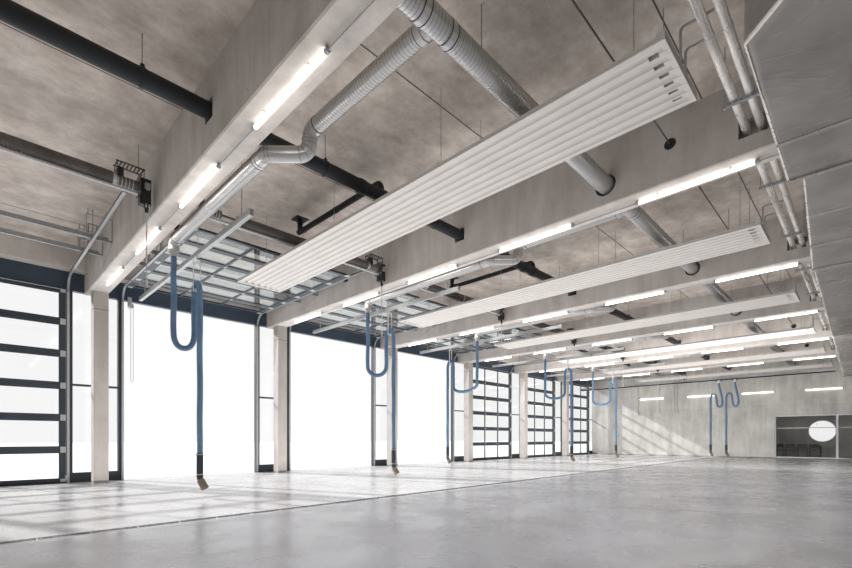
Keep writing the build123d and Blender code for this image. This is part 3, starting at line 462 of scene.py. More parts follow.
def rollTube(bm, stops, radii, sides):
    # A grid rolled round the stops, its seam merged and its ends filled
    small = bmesh.new()
    made = bmesh.ops.create_grid(small, x_segments=len(stops) - 1, y_segments=sides, size=0.5)
    side = Vector((1, 0, 0))
    rings = []
    for place, ahead in stops:
        side = (side - ahead * side.dot(ahead)).normalized()
        rings.append((place, side, ahead.cross(side)))
    for vert in made["verts"]:
        k = round((vert.co.x + 0.5) * (len(stops) - 1))
        angle = 2 * math.pi * (vert.co.y + 0.5)
        place, across, up = rings[k]
        vert.co = place + (across * math.cos(angle) + up * math.sin(angle)) * radii[k]
    closeUp(small, sides)
    merge(bm, small)


routes = [bayRoute(n) for n in range(1, 6)] + [crossRoute(behind(y)) for y in (8.69, 9.43)]
sleeve = {"length": 0.46, "radius": 0.0585, "band": 0.015}
nozzle = {"cuff": 0.052, "cuffLength": 0.06, "tilt": math.radians(29), "towards": Vector((-0.66, 0.75, 0)), "outline": (
    (0.03, 0.0), (0.05, 0.004), (0.064, 0.02), (0.069, 0.045), (0.071, 0.17),
    (0.074, 0.175), (0.074, 0.205), (0.066, 0.215), (0.06, 0.19), (0.058, 0.05))}
sleeves, clamps, tips = bmesh.new(), bmesh.new(), bmesh.new()
for k, points in enumerate(routes, start=1):
    bm = bmesh.new()
    line = routeLine(f"hose_{k}", points)
    stops, total = walk(line, hose["pitch"] / 2)
    rollTube(bm, stops, [hose["radius"] - (hose["ridge"] if stop % 2 else 0) for stop in range(len(stops))], hose["sides"])
    piece = newPiece(f"hose_{k}", bm, hoseBlue, smooth=True)
    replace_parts(piece, f"exhaust_hose_{k}")
    end = stops[-1][0]
    lower = [stop for stop in stops if stop[0].z < end.z + sleeve["length"] and stop[1].z < -0.9]
    rollTube(sleeves, lower, [sleeve["radius"] + (0.0015 if stop % 4 else 0) for stop in range(len(lower))], 16)
    for height in (sleeve["length"] - 0.03, 0.05):
        addBand(clamps, end + Vector((0, 0, height)), "z", sleeve["radius"] + 0.0045, sleeve["band"], 0.002, 16)
    addBlock(clamps, end, ((0.058, 0.078), 0.012, (sleeve["length"] - 0.045, sleeve["length"] - 0.015)), 0.003)
    # cuff on the hose end, then the tilted rubber mouth, open at its far end
    addBand(sleeves, end - Vector((0, 0, nozzle["cuffLength"] / 2 - 0.01)), "z", nozzle["cuff"], nozzle["cuffLength"], 0.006, 20)
    small = bmesh.new()
    spots = [small.verts.new((radius, 0, -depth)) for radius, depth in nozzle["outline"]]
    edges = [small.edges.new(pair) for pair in zip(spots, spots[1:])]
    bmesh.ops.spin(small, geom=spots + edges, cent=(0, 0, 0), axis=(0, 0, 1), angle=2 * math.pi, steps=24, use_merge=True)
    closeUp(small, 30)
    ahead = nozzle["towards"] * math.sin(nozzle["tilt"]) - Vector((0, 0, math.cos(nozzle["tilt"])))
    turn = Vector((0, 0, -1)).rotation_difference(ahead).to_matrix().to_4x4()
    neck = end - Vector((0, 0, nozzle["cuffLength"] - 0.025))
    bmesh.ops.transform(small, matrix=Matrix.Translation(neck) @ turn, verts=small.verts[:])
    merge(tips, small)
    print("hose", k, round(total, 3), "m along its line")
newPiece("hose_sleeves", sleeves, sleeveDark, smooth=True)
newPiece("hose_clamps", clamps, zincPart)
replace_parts(newPiece("hose_mouths", tips, nozzleRubber, smooth=True), "hose_nozzles")

# Spiral ducts: lock seams, slip joints with dark lip seals, and the standing seams between the gores of the elbows; the
# seams are darker zinc than the duct, painted shade along them
duct = {
    "y": behind(11.61), "z": level(5.2), "radius": 0.125, "seam": (0.046, 0.004, 0.012), "joint": 2.6, "tee": 0.19, "band": 0.07,
    "bend": 0.14, "branchRadius": 0.1, "branchZ": level(4.9), "takeX": 0.75, "pass": (behind(9.33), behind(8.93)),
}
seams, joints, gores, seals = (bmesh.new() for k in range(4))
y, z, low, radius, (first, second) = duct["y"], duct["z"], duct["branchZ"], duct["branchRadius"], duct["pass"]
addSeam(seams, (lineX(0), y, z), (lineX(7), y, z), duct["radius"], *duct["seam"], 20)
ductJoints = [lineX(n) - duct["takeX"] - duct["joint"] for n in allBays]
ductJoints += [lineX(n) - duct["takeX"] + side * duct["tee"] for n in range(1, 6) for side in (-1, 1)]
for x in ductJoints:
    addBand(joints, (x, y, z), "x", duct["radius"] + 0.006, duct["band"])
    for side in (-0.046, 0.046):
        addBand(seals, (x + side, y, z), "x", duct["radius"] + 0.005, 0.01, 0.002)
for n, spigot in enumerate(spigots, start=1):
    take, run, mouth = lineX(n) - duct["takeX"], lineX(n) - branchX, behind(spigot)
    addSeam(seams, (take, y - 0.2, z), (take, first + 0.2, z), radius, *duct["seam"], 18)
    addSeam(seams, (run, second - 0.25, low), (run, mouth + 0.2, low), radius, *duct["seam"], 18)
    for *spot, proud, width in ((take, y - 0.17, z, 0.012, 0.08), (take, first + 0.17, z, 0.007, 0.06), (run, second - 0.2, low, 0.007, 0.06),
                                (run, (second + mouth) / 2, low, 0.006, 0.06), (run, mouth + 0.15, low, 0.007, 0.06)):
        addBand(joints, spot, "y", radius + proud, width)
    for spot in ((take, y - 0.218, z), (take, first + 0.21, z), (run, second - 0.24, low), (run, mouth + 0.19, low)):
        addBand(seals, spot, "y", radius + 0.005, 0.01, 0.002)
    path = [Vector(spot) for spot in ((take, y, z), (take, first, z), (take, first, low), (run, second, low), (run, mouth, low))]
    for before, corner, after in zip(path, path[1:], path[2:]):
        along, away = (corner - before).normalized(), (after - corner).normalized()
        turn = along.angle(away)
        inward = (away - along * along.dot(away)).normalized()
        start = corner - along * duct["bend"] * math.tan(turn / 2)
        for share in (0.08, 0.36, 0.64, 0.92):
            sine, cosine = math.sin(turn * share), math.cos(turn * share)
            spot = start + (along * sine + inward * (1 - cosine)) * duct["bend"]
            addBand(gores, spot, along * cosine + inward * sine, radius + 0.004, 0.012, 0.003)
newPiece("spiral_duct_seams", seams, seamZincShade)
newPiece("duct_slip_joints", joints, ductZinc)
newPiece("elbow_gore_seams", gores, seamZincShade)
newPiece("duct_lip_seals", seals, blackPipe)
print("duct seams and joints made")

# Black drains: push-fit couplings and steel clamps at the hanger rods
drain = {"y": behind(8.55), "z": level(5.36), "radius": 0.105, "smallY": behind(4.57), "smallZ": level(5.43), "smallRadius": 0.0625,
         "hooks": (0.3 * hall["bay"], 0.8 * hall["bay"]), "outletX": 0.527 * hall["bay"], "outletY": behind(5.78),
         "runZ": level(5.6), "outletRadius": 0.055}
bm = bmesh.new()
y, z, radius = drain["y"], drain["z"], drain["radius"]
smallY, smallZ, smallRadius = drain["smallY"], drain["smallZ"], drain["smallRadius"]
for n in allBays:
    for hook in drain["hooks"]:
        x = lineX(n) - hook
        addBand(bm, (x, y, z), "x", radius + 0.009, 0.045)
        addBlock(bm, (x, y, z + radius), (0.022, 0.03, (0, 0.05)), 0.004)
        for ear in (y - radius - 0.018, y + radius + 0.018):  # with their bolts
            addBlock(bm, (x, ear, z), (0.02, 0.02, 0.012), 0.003)
            addPin(bm, (x, ear, z), "z", 0.03, 0.007, 6)
        if n:
            addBand(bm, (x, smallY, smallZ), "x", smallRadius + 0.007, 0.035)
            addBlock(bm, (x, smallY, smallZ + smallRadius), (0.016, 0.02, (0, 0.035)), 0.003)
    addBand(bm, (lineX(n) - 2.2, y, z), "x", radius + 0.012, 0.13, 0.01)
    if n:
        addBand(bm, (lineX(n) - 3.1, smallY, smallZ), "x", smallRadius + 0.009, 0.1, 0.008)
for n in beamLines:
    x, outlet, small = lineX(n) - drain["outletX"], drain["outletY"], drain["outletRadius"]
    addBlock(bm, (x, outlet + 0.055, ceilingZ), (0.14, 0.14, (-0.018, 0)), 0.004)
    addBand(bm, (x, outlet + 0.055, level(5.8)), "z", small + 0.009, 0.07, 0.006)
    addBand(bm, (x, outlet + 0.2, drain["runZ"]), "y", small + 0.008, 0.07, 0.006)
    addBand(bm, (x, outlet + 1.4, drain["runZ"]), "y", small + 0.007, 0.03)
    addBand(bm, (x, y - 0.25, drain["runZ"]), "y", small + 0.008, 0.07, 0.006)
    addBand(bm, (x, y, z), "x", radius + 0.012, 0.2, 0.01)
newPiece("drain_clamps_and_couplings", bm, blackPipe)

# Door springs: wound coils, grooved cable drums, shaft couplings, and the bright tie tube under the spring
spring = {"y": behind(6.2), "z": level(5.2), "radius": 0.095, "from": 1.32, "to": 1.66, "pitch": 0.026, "drum": 0.078, "end": 2.014}
coils, fittings = bmesh.new(), bmesh.new()
y, z = spring["y"], spring["z"]
for n in allBays:
    x = middleX(n)
    addSeam(coils, (x + spring["from"], y, z), (x - spring["to"], y, z), spring["radius"], spring["pitch"], 0.006, 0.024, 14)
    for at, radius, width in ((spring["from"] + 0.03, 0.09, 0.09), (-0.17, 0.1, 0.05), (-spring["to"] - 0.02, 0.09, 0.07)):
        addBand(fittings, (x + at, y, z), "x", radius, width, 0.008)
    for side in (-1, 1):
        for groove in range(5):
            addBand(fittings, (x + side * (1.73 + 0.05 * groove), y, z), "x", spring["drum"], 0.012, 0.003, 18)
        for dy in (-0.09, 0.09):
            for dz in (-0.11, 0.11):
                addPin(fittings, (x + side * spring["end"], y + dy, z + dz), "x", 0.014, 0.011, 6)
    addPin(fittings, (x, y + 0.02, z - 0.128), "x", 1.99, 0.024, 16)
    for at in (-1.99, -0.6, 0.6, 1.99):
        addBlock(fittings, (x + at, y, z), (0.006, (-0.005, 0.045), (-0.15, -0.09)), 0.002)
newPiece("spring_coils", coils, springSteel)
newPiece("spring_fittings", fittings, zincPart)

# Door operators: ribbed cover, terminal boxes, a frame of flat bars round the gearing, and the hand rod
operator = {"y": behind(6.2), "bottom": 4.92, "top": 5.34, "x": 2.13, "rod": 3.6}
covers, rods, terminals, frames = (bmesh.new() for k in range(4))
low, high, y = level(operator["bottom"]), level(operator["top"]), operator["y"]
for n in allBays:
    x = middleX(n) - operator["x"]
    addBlock(covers, (x, y, 0), ((-0.055, 0.06), 0.07, (low + 0.22, high + 0.004)), 0.012, 3)
    addBlock(covers, (x, y, low), ((-0.045, 0.05), 0.06, (0.03, 0.2)), 0.012, 3)
    addPin(covers, (x, y, low), "z", (0.04, -0.1), 0.04, 16, 0.024)
    for fin in range(5):
        addBlock(covers, (x, y, low + 0.05 + 0.028 * fin), ((-0.052, 0.054), 0.068, (0, 0.008)), 0.002)
    for at in (y - 0.1, y + 0.1):
        addBlock(frames, (x, at, high), ((0.04, 0.44), 0.012, (0.108, 0.12)), 0.002)
        for run in (0.06, 0.42):
            addBlock(frames, (x + run, at, high), (0.004, 0.012, 0.12), 0.002)
    for k in range(8):
        addBlock(frames, (x + 0.065 + 0.05 * k, y, high), (0.01, 0.112, (0.112, 0.122)), 0.002)
    addBlock(frames, (x, y, high), ((0.33, 0.415), 0.075, (-0.1, 0.05)), 0.006, 2)
    addBlock(terminals, (x, y, high), ((-0.04, 0.045), (0.068, 0.082), (-0.16, -0.06)), 0.004, 2)
    addBlock(terminals, (x, y, high), ((0.058, 0.07), 0.05, (-0.17, -0.09)), 0.004, 2)
    addBlock(terminals, (x, y, low), (0.03, (0.068, 0.078), (0.24, 0.28)), 0.003, 2)
    for side in (-1, 1):
        addPin(terminals, (x + 0.022 * side, y + 0.06, low), "z", (0.02, -0.035), 0.011, 10)
    addPin(rods, (x, y, 0), "z", (low - 0.08, level(operator["rod"])), 0.0095, 10)
    addPin(rods, (x, y, level(operator["rod"])), "z", (0.12, 0.002), 0.018, 10, 0.014)
newPiece("operator_covers", covers, machineBlack)
newPiece("operator_terminals", terminals, lampGrey)
newPiece("operator_frames", frames, machineBlack)
newPiece("operator_hand_rods", rods, zincPart)
print("springs and operators made")

# Sectional doors: hinges on every section joint, roller carriers, seals, lifting cables, pull handles
door = {"width": 3.76, "bottom": 0.04, "section": 0.81, "count": 6, "stile": 0.16, "inner": 0.055, "open": (1, 2, 3),
        "trackZ": level(5.25), "half": 0.0225, "openCentre": 0.38}
bm, rims = bmesh.new(), bmesh.new()
inset = (door["width"] - 2 * door["stile"]) / 6
for n in allBays:
    for joint in range(door["count"] + 1):
        last = joint in (0, door["count"])
        for shift in ((-1, 1) if last else (-1, 1, -inset, inset)):
            wide, tall = (0.022, 0.05) if abs(shift) < 1 else (0.055, 0.075)
            x = middleX(n) + (shift if abs(shift) < 1 else shift * (door["width"] / 2 - 0.075))
            if n in door["open"]:
                y, z = behind(door["openCentre"]) + door["section"] * (door["count"] - joint), door["trackZ"] - door["half"]
                addBlock(bm, (x, y, z), (wide, tall, (-0.005, 0)), 0.002)
                addPin(bm, (x, y, z - 0.009), "x", wide * 0.9, 0.009, 8)
            else:
                y, z = behind(door["inner"]), level(door["bottom"] + door["section"] * joint)
                span = (0 if joint == 0 else -tall, 0 if joint == door["count"] else tall)
                addBlock(bm, (x, y, z), (wide, (0, 0.005), span), 0.002)
                addPin(bm, (x, y + 0.009, z), "x", wide * 0.9, 0.009, 8)
    if n not in door["open"]:
        for side in (-1, 1):
            x = middleX(n) + side * (door["width"] / 2 - 0.02)
            addPin(bm, (x, behind(0.075), 0), "z", (level(0.12), level(4.86)), 0.003, 6)
            addBlock(bm, (x, behind(0.07), level(0.13)), ((-0.03, 0.018), 0.015, 0.07), 0.004)
        addBlock(rims, (middleX(n), behind(0), level(0)), (1.88, (0.012, 0.053), (0.002, 0.042)), 0.008, 2)
        for k in range(1, door["count"]):  # weather lip at each joint, outside
            z = level(door["bottom"] + door["section"] * k)
            addBlock(rims, (middleX(n), behind(0), z), (1.87, (0.006, 0.0101), (-0.006, 0.012)), 0.0015)
        addPin(bm, (middleX(n) + 0.15, behind(0.09), level(0.95)), "x", 0.09, 0.009, 10)
        for x in (0.07, 0.23):
            addPin(bm, (middleX(n) + x, behind(0), level(0.95)), "y", (0.054, 0.092), 0.007, 8)
newPiece("door_hinges_and_cables", bm, zincPart)
newPiece("door_seals", rims, blackPipe)

# Hand chain of the second door, a loop of oval links
chain = {"x": 13.364, "y": behind(0.25), "top": 4.74, "low": 2.7, "gap": 0.06, "link": 0.036, "wire": 0.0035}
bm = bmesh.new()
count = int((chain["top"] - chain["low"]) / (chain["link"] * 0.78))
for strand in (-1, 1):
    for k in range(count):
        small = bmesh.new()
        z = level(chain["low"]) + (k + 0.5) * chain["link"] * 0.78
        turn = Matrix.Rotation(math.radians(90 * (k % 2)), 4, "Z")
        place = Matrix.Translation((chain["x"] + strand * chain["gap"] / 2, chain["y"], z)) @ turn
        oval = place @ Matrix.Rotation(math.radians(90), 4, "X") @ Matrix.Diagonal((0.6, 1, 1, 1))
        made = bmesh.ops.create_circle(small, segments=8, radius=chain["link"] / 2, matrix=oval)
        ring = list({edge for vert in made["verts"] for edge in vert.link_edges})
        normal = (place.to_3x3() @ Vector((0, 1, 0))) * chain["wire"] * 2
        for vert in made["verts"]:
            vert.co -= normal / 2
        wall = bmesh.ops.extrude_edge_only(small, edges=ring)["geom"]
        bmesh.ops.translate(small, verts=[g for g in wall if isinstance(g, bmesh.types.BMVert)], vec=normal)
        bmesh.ops.solidify(small, geom=small.faces[:], thickness=chain["wire"])
        merge(bm, small)
slack = [Vector((math.cos(k * math.pi / 5), 0, -math.sin(k * math.pi / 5))) * chain["gap"] / 2 for k in range(6)]  # the turn at the bottom
foot = Vector((chain["x"], chain["y"], level(chain["low"])))
for a, b in zip(slack, slack[1:]):
    addRod(bm, foot + a, foot + b, chain["wire"] * 1.6, 6)
addBand(bm, (chain["x"], chain["y"], level(chain["top"])), "y", 0.05, 0.03, 0.005, 16)
addBlock(bm, (chain["x"], 0, level(chain["top"])), (0.03, (behind(0.002), chain["y"] + 0.03), (-0.05, 0.07)), 0.004)
addBlock(bm, (chain["x"], 0, level(chain["top"])), (0.05, (behind(0.0), behind(0.012)), (0.02, 0.3)), 0.003)
newPiece("hand_chain", bm, zincPart)
print("door hardware made")

# Foil pipes: jacket bands, bracket feet and clamps
foil = {"ys": (behind(13.48), behind(13.64)), "z": level(5.22), "radius": 0.046, "bands": 0.62}
bm, brackets = bmesh.new(), bmesh.new()
for y in foil["ys"]:
    spot = lineX(0) - 0.4
    while spot > lineX(7) + 0.2:
        addBand(bm, (spot, y, foil["z"]), "x", foil["radius"] + 0.0035, 0.04, 0.002, 16)
        spot -= foil["bands"]
for n in allBays:
    for hook in drain["hooks"]:
        x = lineX(n) - hook
        for y in foil["ys"]:
            addBand(brackets, (x, y, foil["z"]), "x", foil["radius"] + 0.006, 0.028, 0.003, 16)
        middle = sum(foil["ys"]) / 2
        for side in (-1, 1):
            y = middle + side * 0.17
            for z in (foil["z"] - foil["radius"] - 0.052, foil["z"] - foil["radius"] + 0.001):
                addPin(brackets, (x, y, z), "z", (0, 0.012), 0.014, 6)
        for k in range(6):  # punched slots of the bracket rail read as dark bars
            y = middle - 0.15 + 0.06 * k
            addBlock(brackets, (x, y, foil["z"] - foil["radius"]), (0.0205, 0.012, (-0.026, -0.014)), 0.001)
newPiece("foil_jacket_bands", bm, pipeFoil)
newPiece("pipe_brackets", brackets, zincPart)
print("foil pipes dressed")

# Air duct below the beams: sheet metal wrapped in foil-faced insulation, creased, with its seams and corners taped; the
# corner tape's near-white colour is partly painted highlight along the lower edges
airDuct = {
    "bottom": 4.4, "high": 0.38, "wide": 0.66, "wider": 0.12, "left": behind(13.9), "turnX": 2.23, "turnRun": 0.7,
    "slant": 0.5, "step": 0.12, "narrow": 4.03, "shifts": ((0, 0), (0.15, -0.05), (-0.03, -0.25)), "cell": 0.055,
    "crease": 0.006, "seamGap": 1.25, "tape": 0.07, "rim": 0.018,
}


def addWall(bm, corners, counts):
    # A grid stretched between four corners
    a, b, c, d = (Vector(corner) for corner in corners)
    small = bmesh.new()
    made = bmesh.ops.create_grid(small, x_segments=counts[0], y_segments=counts[1], size=0.5)
    for vert in made["verts"]:
        u, v = vert.co.x + 0.5, vert.co.y + 0.5
        vert.co = a.lerp(b, u).lerp(d.lerp(c, u), v)
    merge(bm, small)


def addTrunk(bm, plan, low, high, counts, ends=(True, True)):
    # Walls over a plan given as left start, left end, right end, right start
    along, wide, tall = counts
    a, b, c, d = plan
    for z in (low, high):
        addWall(bm, [(*spot, z) for spot in plan], (along, wide))
    for start, stop in ((a, b), (d, c)):
        addWall(bm, [(*start, low), (*stop, low), (*stop, high), (*start, high)], (along, tall))
    for shown, start, stop in ((ends[0], a, d), (ends[1], b, c)):
        if shown:
            addWall(bm, [(*start, low), (*stop, low), (*stop, high), (*start, high)], (wide, tall))


def partOf(plan, start, stop, grow=0.0):
    # A slice of a plan, widened to both sides
    a, b, c, d = (Vector(spot) for spot in plan)
    side = (a - d).normalized() * grow
    left, right = ((a.lerp(b, share) + side, d.lerp(c, share) - side) for share in (start, stop))
    return [tuple(spot) for spot in (left[0], right[0], right[1], left[1])]


def creased(bm, amount):
    # Closed, with rounded corners, and every wall a little out of true
    bmesh.ops.remove_doubles(bm, verts=bm.verts[:], dist=0.0004)
    bmesh.ops.recalc_face_normals(bm, faces=bm.faces[:])
    bm.normal_update()
    for vert in bm.verts:
        swell = noise.noise(vert.co * 1.6) + 0.7 * noise.noise(vert.co * 5.5) + 0.45 * noise.noise(vert.co * 14)
        vert.co += vert.normal * amount * (swell - 0.4)


near, left = lineX(1) - airDuct["turnX"], airDuct["left"]
right, outer, turnEnd = left + airDuct["wide"], near + airDuct["wide"], near - airDuct["turnRun"]
low, high = level(airDuct["bottom"]), level(airDuct["bottom"] + airDuct["high"])
stub, back = (near - 0.02, hall["rearY"]), (turnEnd, right)
inner = [stub, tuple(Vector(stub).lerp(Vector(back), 0.62)), tuple(Vector(stub).lerp(Vector(back), 0.86)), back]
outside = [(outer, hall["rearY"]), (outer, left + airDuct["slant"]), (outer - airDuct["slant"], left), (turnEnd, left)]
turns = [[outside[k], outside[k + 1], inner[k + 1], inner[k]] for k in range(3)]
stopsX = [turnEnd, lineX(2) + airDuct["step"], lineX(2) - airDuct["narrow"], lineX(7)]
runs = []
for k, (first, last) in enumerate(airDuct["shifts"]):
    edge = right + (airDuct["wider"] if k == 2 else 0)
    runs.append([(stopsX[k], left + first), (stopsX[k + 1], left + last), (stopsX[k + 1], edge), (stopsX[k], edge)])
body, tape = bmesh.new(), bmesh.new()
for k, plan in enumerate(turns):
    span = (Vector(plan[0]) - Vector(plan[1])).length
    addTrunk(body, plan, low, high, (max(4, round(span / airDuct["cell"])), 13, 8), (k == 0, False))
for k, plan in enumerate(runs):
    span = (Vector(plan[0]) - Vector(plan[1])).length
    addTrunk(body, plan, low, high, (round(span / airDuct["cell"]), 13, 8), (k > 0, True))
    count = round(span / airDuct["seamGap"])
    half = airDuct["tape"] / 2 / span
    for seam in range(1, count):
        at = seam / count
        addTrunk(tape, partOf(plan, at - half, at + half, 0.004), low - 0.004, high + 0.004, (1, 13, 8))
    for end in (0, 1):  # folded rims where two sections meet
        start = 0 if end == 0 else 1 - 0.035 / span
        if (k, end) != (0, 0):
            addTrunk(tape, partOf(plan, start, start + 0.035 / span, airDuct["rim"]), low - airDuct["rim"], high + airDuct["rim"], (1, 13, 8))
edging = bmesh.new()
for k, plan in enumerate(turns + runs):  # tape folded over the two lower corners; near-white, partly the tape and partly painted highlight along the edges
    a, b, c, d = (Vector(spot) for spot in plan)
    span = (a - b).length
    for first, last, inward in ((a, b, (d - a).normalized()), (d, c, (a - d).normalized())):
        corner = [tuple(spot + inward * reach) for spot, reach in ((first, -0.003), (last, -0.003), (last, 0.02), (first, 0.02))]
        addTrunk(edging, corner, low - 0.003, low + 0.02, (max(4, round(span / 0.03)), 2, 2))
creased(body, airDuct["crease"])
creased(tape, airDuct["crease"] * 0.5)
creased(edging, airDuct["crease"] * 0.9)
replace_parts(newPiece("foil_wrapped_duct", body, ductFoil, smooth=True), "air_duct")
newPiece("duct_foil_tape", tape, foilTape)
newPiece("duct_corner_tape_highlight", edging, cornerTapeHighlight)
print("air duct wrapped")

# Radiant panels: folded end channels and cross bars on top at the hooks
heater = {"start": behind(4.2), "end": behind(13.32), "bottom": 4.75, "thick": 0.06, "half": 0.52, "hookStart": 1.25, "hookEnd": 0.3}
bm = bmesh.new()
for n in beamLines:
    x, z = middleX(n), level(heater["bottom"])
    for y, way in ((heater["start"], 1), (heater["end"], -1)):
        first, second = sorted((y - way * 0.004, y + way * 0.05))
        addBlock(bm, (x, 0, z), (heater["half"] + 0.006, (first, second), (0.004, heater["thick"] + 0.034)), 0.004)
        first, second = sorted((y - way * 0.006, y + way * 0.012))
        addBlock(bm, (x, 0, z), (heater["half"] + 0.008, (first, second), (-0.004, 0.02)), 0.003)
    gap = (heater["end"] - heater["start"] - heater["hookStart"] - heater["hookEnd"]) / 3
    for k in range(4):
        y = heater["start"] + heater["hookStart"] + gap * k
        addBlock(bm, (x, y, z + heater["thick"]), (heater["half"] - 0.01, 0.02, (-0.001, 0.024)), 0.003)
    for side in (-1, 1):  # rolled long edges
        addPin(bm, (x + side * (heater["half"] - 0.002), 0, z + 0.01), "y", (heater["start"], heater["end"]), 0.011, 8)
newPiece("panel_channels", bm, panelWhite)

# Lamps: collars at the ends of the tubes, spring clips to the soffit, glands of the conduits
lamp = {"first": 2.28, "pitch": 2.63, "count": 6, "half": 0.75, "drop": 0.042, "radius": 0.025, "wallX": lineX(7) + 0.042,
        "wallZ": level(3.8), "wallFirst": 4.15, "wallPitch": 2.9, "wallCount": 4}
bm = bmesh.new()
spots = [(lineX(n) + hall["beamShift"], behind(lamp["first"] + lamp["pitch"] * k), level(hall["soffit"] - lamp["drop"]), "z")
         for n in beamLines for k in range(lamp["count"])]
spots += [(lamp["wallX"], behind(lamp["wallFirst"] + lamp["wallPitch"] * k), lamp["wallZ"], "x") for k in range(lamp["wallCount"])]
for x, y, z, mount in spots:
    for side in (-1, 1):
        addBand(bm, (x, y + side * (lamp["half"] + 0.004), z), "y", lamp["radius"] + 0.0035, 0.016, 0.002, 16)
        addBand(bm, (x, y + side * (lamp["half"] + 0.052), z), "y", 0.015, 0.022, 0.003, 12)
        grip = y + side * 0.47
        addBand(bm, (x, grip, z), "y", lamp["radius"] + 0.0025, 0.014, 0.001, 16)
        if mount == "z":
            addBlock(bm, (x, grip, z), (0.008, 0.007, (0.02, lamp["drop"])), 0.001)
            addBlock(bm, (x, grip, z + lamp["drop"]), (0.03, 0.01, (-0.005, 0)), 0.001)
        else:
            addBlock(bm, (x, grip, z), ((-0.042, -0.02), 0.007, 0.008), 0.001)
newPiece("lamp_collars_and_clips", bm, lampGrey)

# Door tracks: hanging frames where the cross rails pass, bolts, and the rollers' stop plates
track = {"places": (2.19, 3.15), "edge": 1.91, "top": 5.2725, "high": 0.082, "end": 5.85}
bm = bmesh.new()
for n in allBays:
    for side in (-1, 1):
        x = middleX(n) + side * track["edge"]
        for place in track["places"]:
            y, z = behind(place), level(track["top"]) + track["high"]
            for lean in (-0.075, 0.075):
                addBlock(bm, (x + lean, y, z), (0.012, 0.004, (-0.1, 0.2)), 0.002)
            addBlock(bm, (x, y, z), (0.087, 0.016, (0.188, 0.212)), 0.003)
            face = middleX(n) + (2.313 if side > 0 else -2.243)
            inner = middleX(n) + side * 1.8
            first, second = sorted((middleX(n) + side * 2.17, face))
            addBlock(bm, (0, y, z - track["high"]), ((first, second), 0.0205, (0, 0.041)), 0.002)
            for upright in (face, inner):
                addBlock(bm, (upright, y, 0), (0.006, 0.02, (z - track["high"] - 0.006, level(5.76))), 0.002)
            first, second = sorted((face, inner))
            addBlock(bm, (0, y, 0), ((first, second), 0.02, (level(5.75), level(5.762))), 0.002)
            for leg in (inner + side * 0.03, face - side * 0.06):
                addPin(bm, (leg, y, 0), "z", (level(5.755), level(5.874)), 0.006, 8)
                addPin(bm, (leg, y, 0), "z", (level(5.762), level(5.774)), 0.012, 6)
            addPin(bm, (x, y, z), "z", (0.18, 0.23), 0.012, 6)
            for lean in (-0.075, 0.075):
                addPin(bm, (x + lean, y, z - 0.04), "y", 0.014, 0.009, 6)
        addBlock(bm, (x, behind(track["end"]), 0), (0.04, (-0.012, 0), (level(5.2), level(5.3))), 0.003)
    for place in track["places"]:  # slotted strut: a shadow line between its two flanges
        for dz in (0.0, track["high"]):
            addBlock(bm, (middleX(n), behind(place), level(track["top"]) + dz), (2.18, 0.026, (-0.004, 0.003)), 0.001)
newPiece("track_frames", bm, shadedZinc)
print("panels, lamps and tracks dressed")

# Hose rails: a rolled lip each side of the slot, end stops and splice plates; the cross rail has its trolleys' wheels
rail = {"x": 0.68, "z": 4.62, "start": 1.45, "length": 6.3, "high": 0.09, "crossX": lineX(6) - 1.73, "crossZ": 4.34,
        "crossStart": 0.65, "crossEnd": 13.52, "trolleys": (8.69, 9.43)}
bm = bmesh.new()
for n in range(1, 6):
    x, z = lineX(n) - rail["x"], level(rail["z"])
    first, last = behind(rail["start"]), behind(rail["start"] + rail["length"])
    for side in (-1, 1):
        addBlock(bm, (x + side * 0.022, 0, z), (0.011, (first + 0.004, last - 0.004), (-0.006, 0.002)), 0.002)
        addBlock(bm, (x + side * 0.031, 0, z), (0.002, (first + 0.004, last - 0.004), (0.02, 0.028)), 0.001)
    for y in (first, last):
        addBlock(bm, (x, y, z), (0.036, 0.005, (-0.008, rail["high"] + 0.004)), 0.003)
    for y in (first + 2.1, first + 4.2):
        addBlock(bm, (x, y, z), (0.034, 0.09, (0.012, 0.07)), 0.003)
x, z = rail["crossX"], level(rail["crossZ"])
first, last = behind(rail["crossStart"]), behind(rail["crossEnd"])
for side in (-1, 1):
    addBlock(bm, (x + side * 0.045, 0, z), (0.018, (first + 0.004, last - 0.004), (-0.008, 0.002)), 0.003)
    addBlock(bm, (x + side * 0.061, 0, z), (0.003, (first + 0.004, last - 0.004), (0.06, 0.075)), 0.001)
for y in (first, last):
    addBlock(bm, (x, y, z), (0.066, 0.005, (-0.01, 0.155)), 0.003)
newPiece("rail_lips_and_stops", bm, railAluminium)
bm = bmesh.new()
for distance in rail["trolleys"]:
    y = behind(distance)
    for way in (-0.09, 0.09):
        for side in (-1, 1):
            addBand(bm, (x + side * 0.026, y + way, z - 0.03), "x", 0.03, 0.016, 0.004, 16)
    addBlock(bm, (x, y, z), (0.014, 0.14, (-0.07, -0.012)), 0.006)
newPiece("rail_trolleys", bm, hoseBlue)
bm = bmesh.new()  # black strip along the lower side of the cross rail, with blocks at intervals: painted shadow under the rail
addBlock(bm, (x, 0, z), ((0.061, 0.076), (first + 0.06, last - 0.06), (-0.012, 0.042)), 0.003)
for k in range(1, 6):
    y = behind(rail["crossStart"] + 2.1 * k)
    addBlock(bm, (x, y, z), ((0.058, 0.082), 0.04, (-0.016, 0.046)), 0.003)
newPiece("rail_shadow_strip", bm, blackPipe)
print("rails dressed")
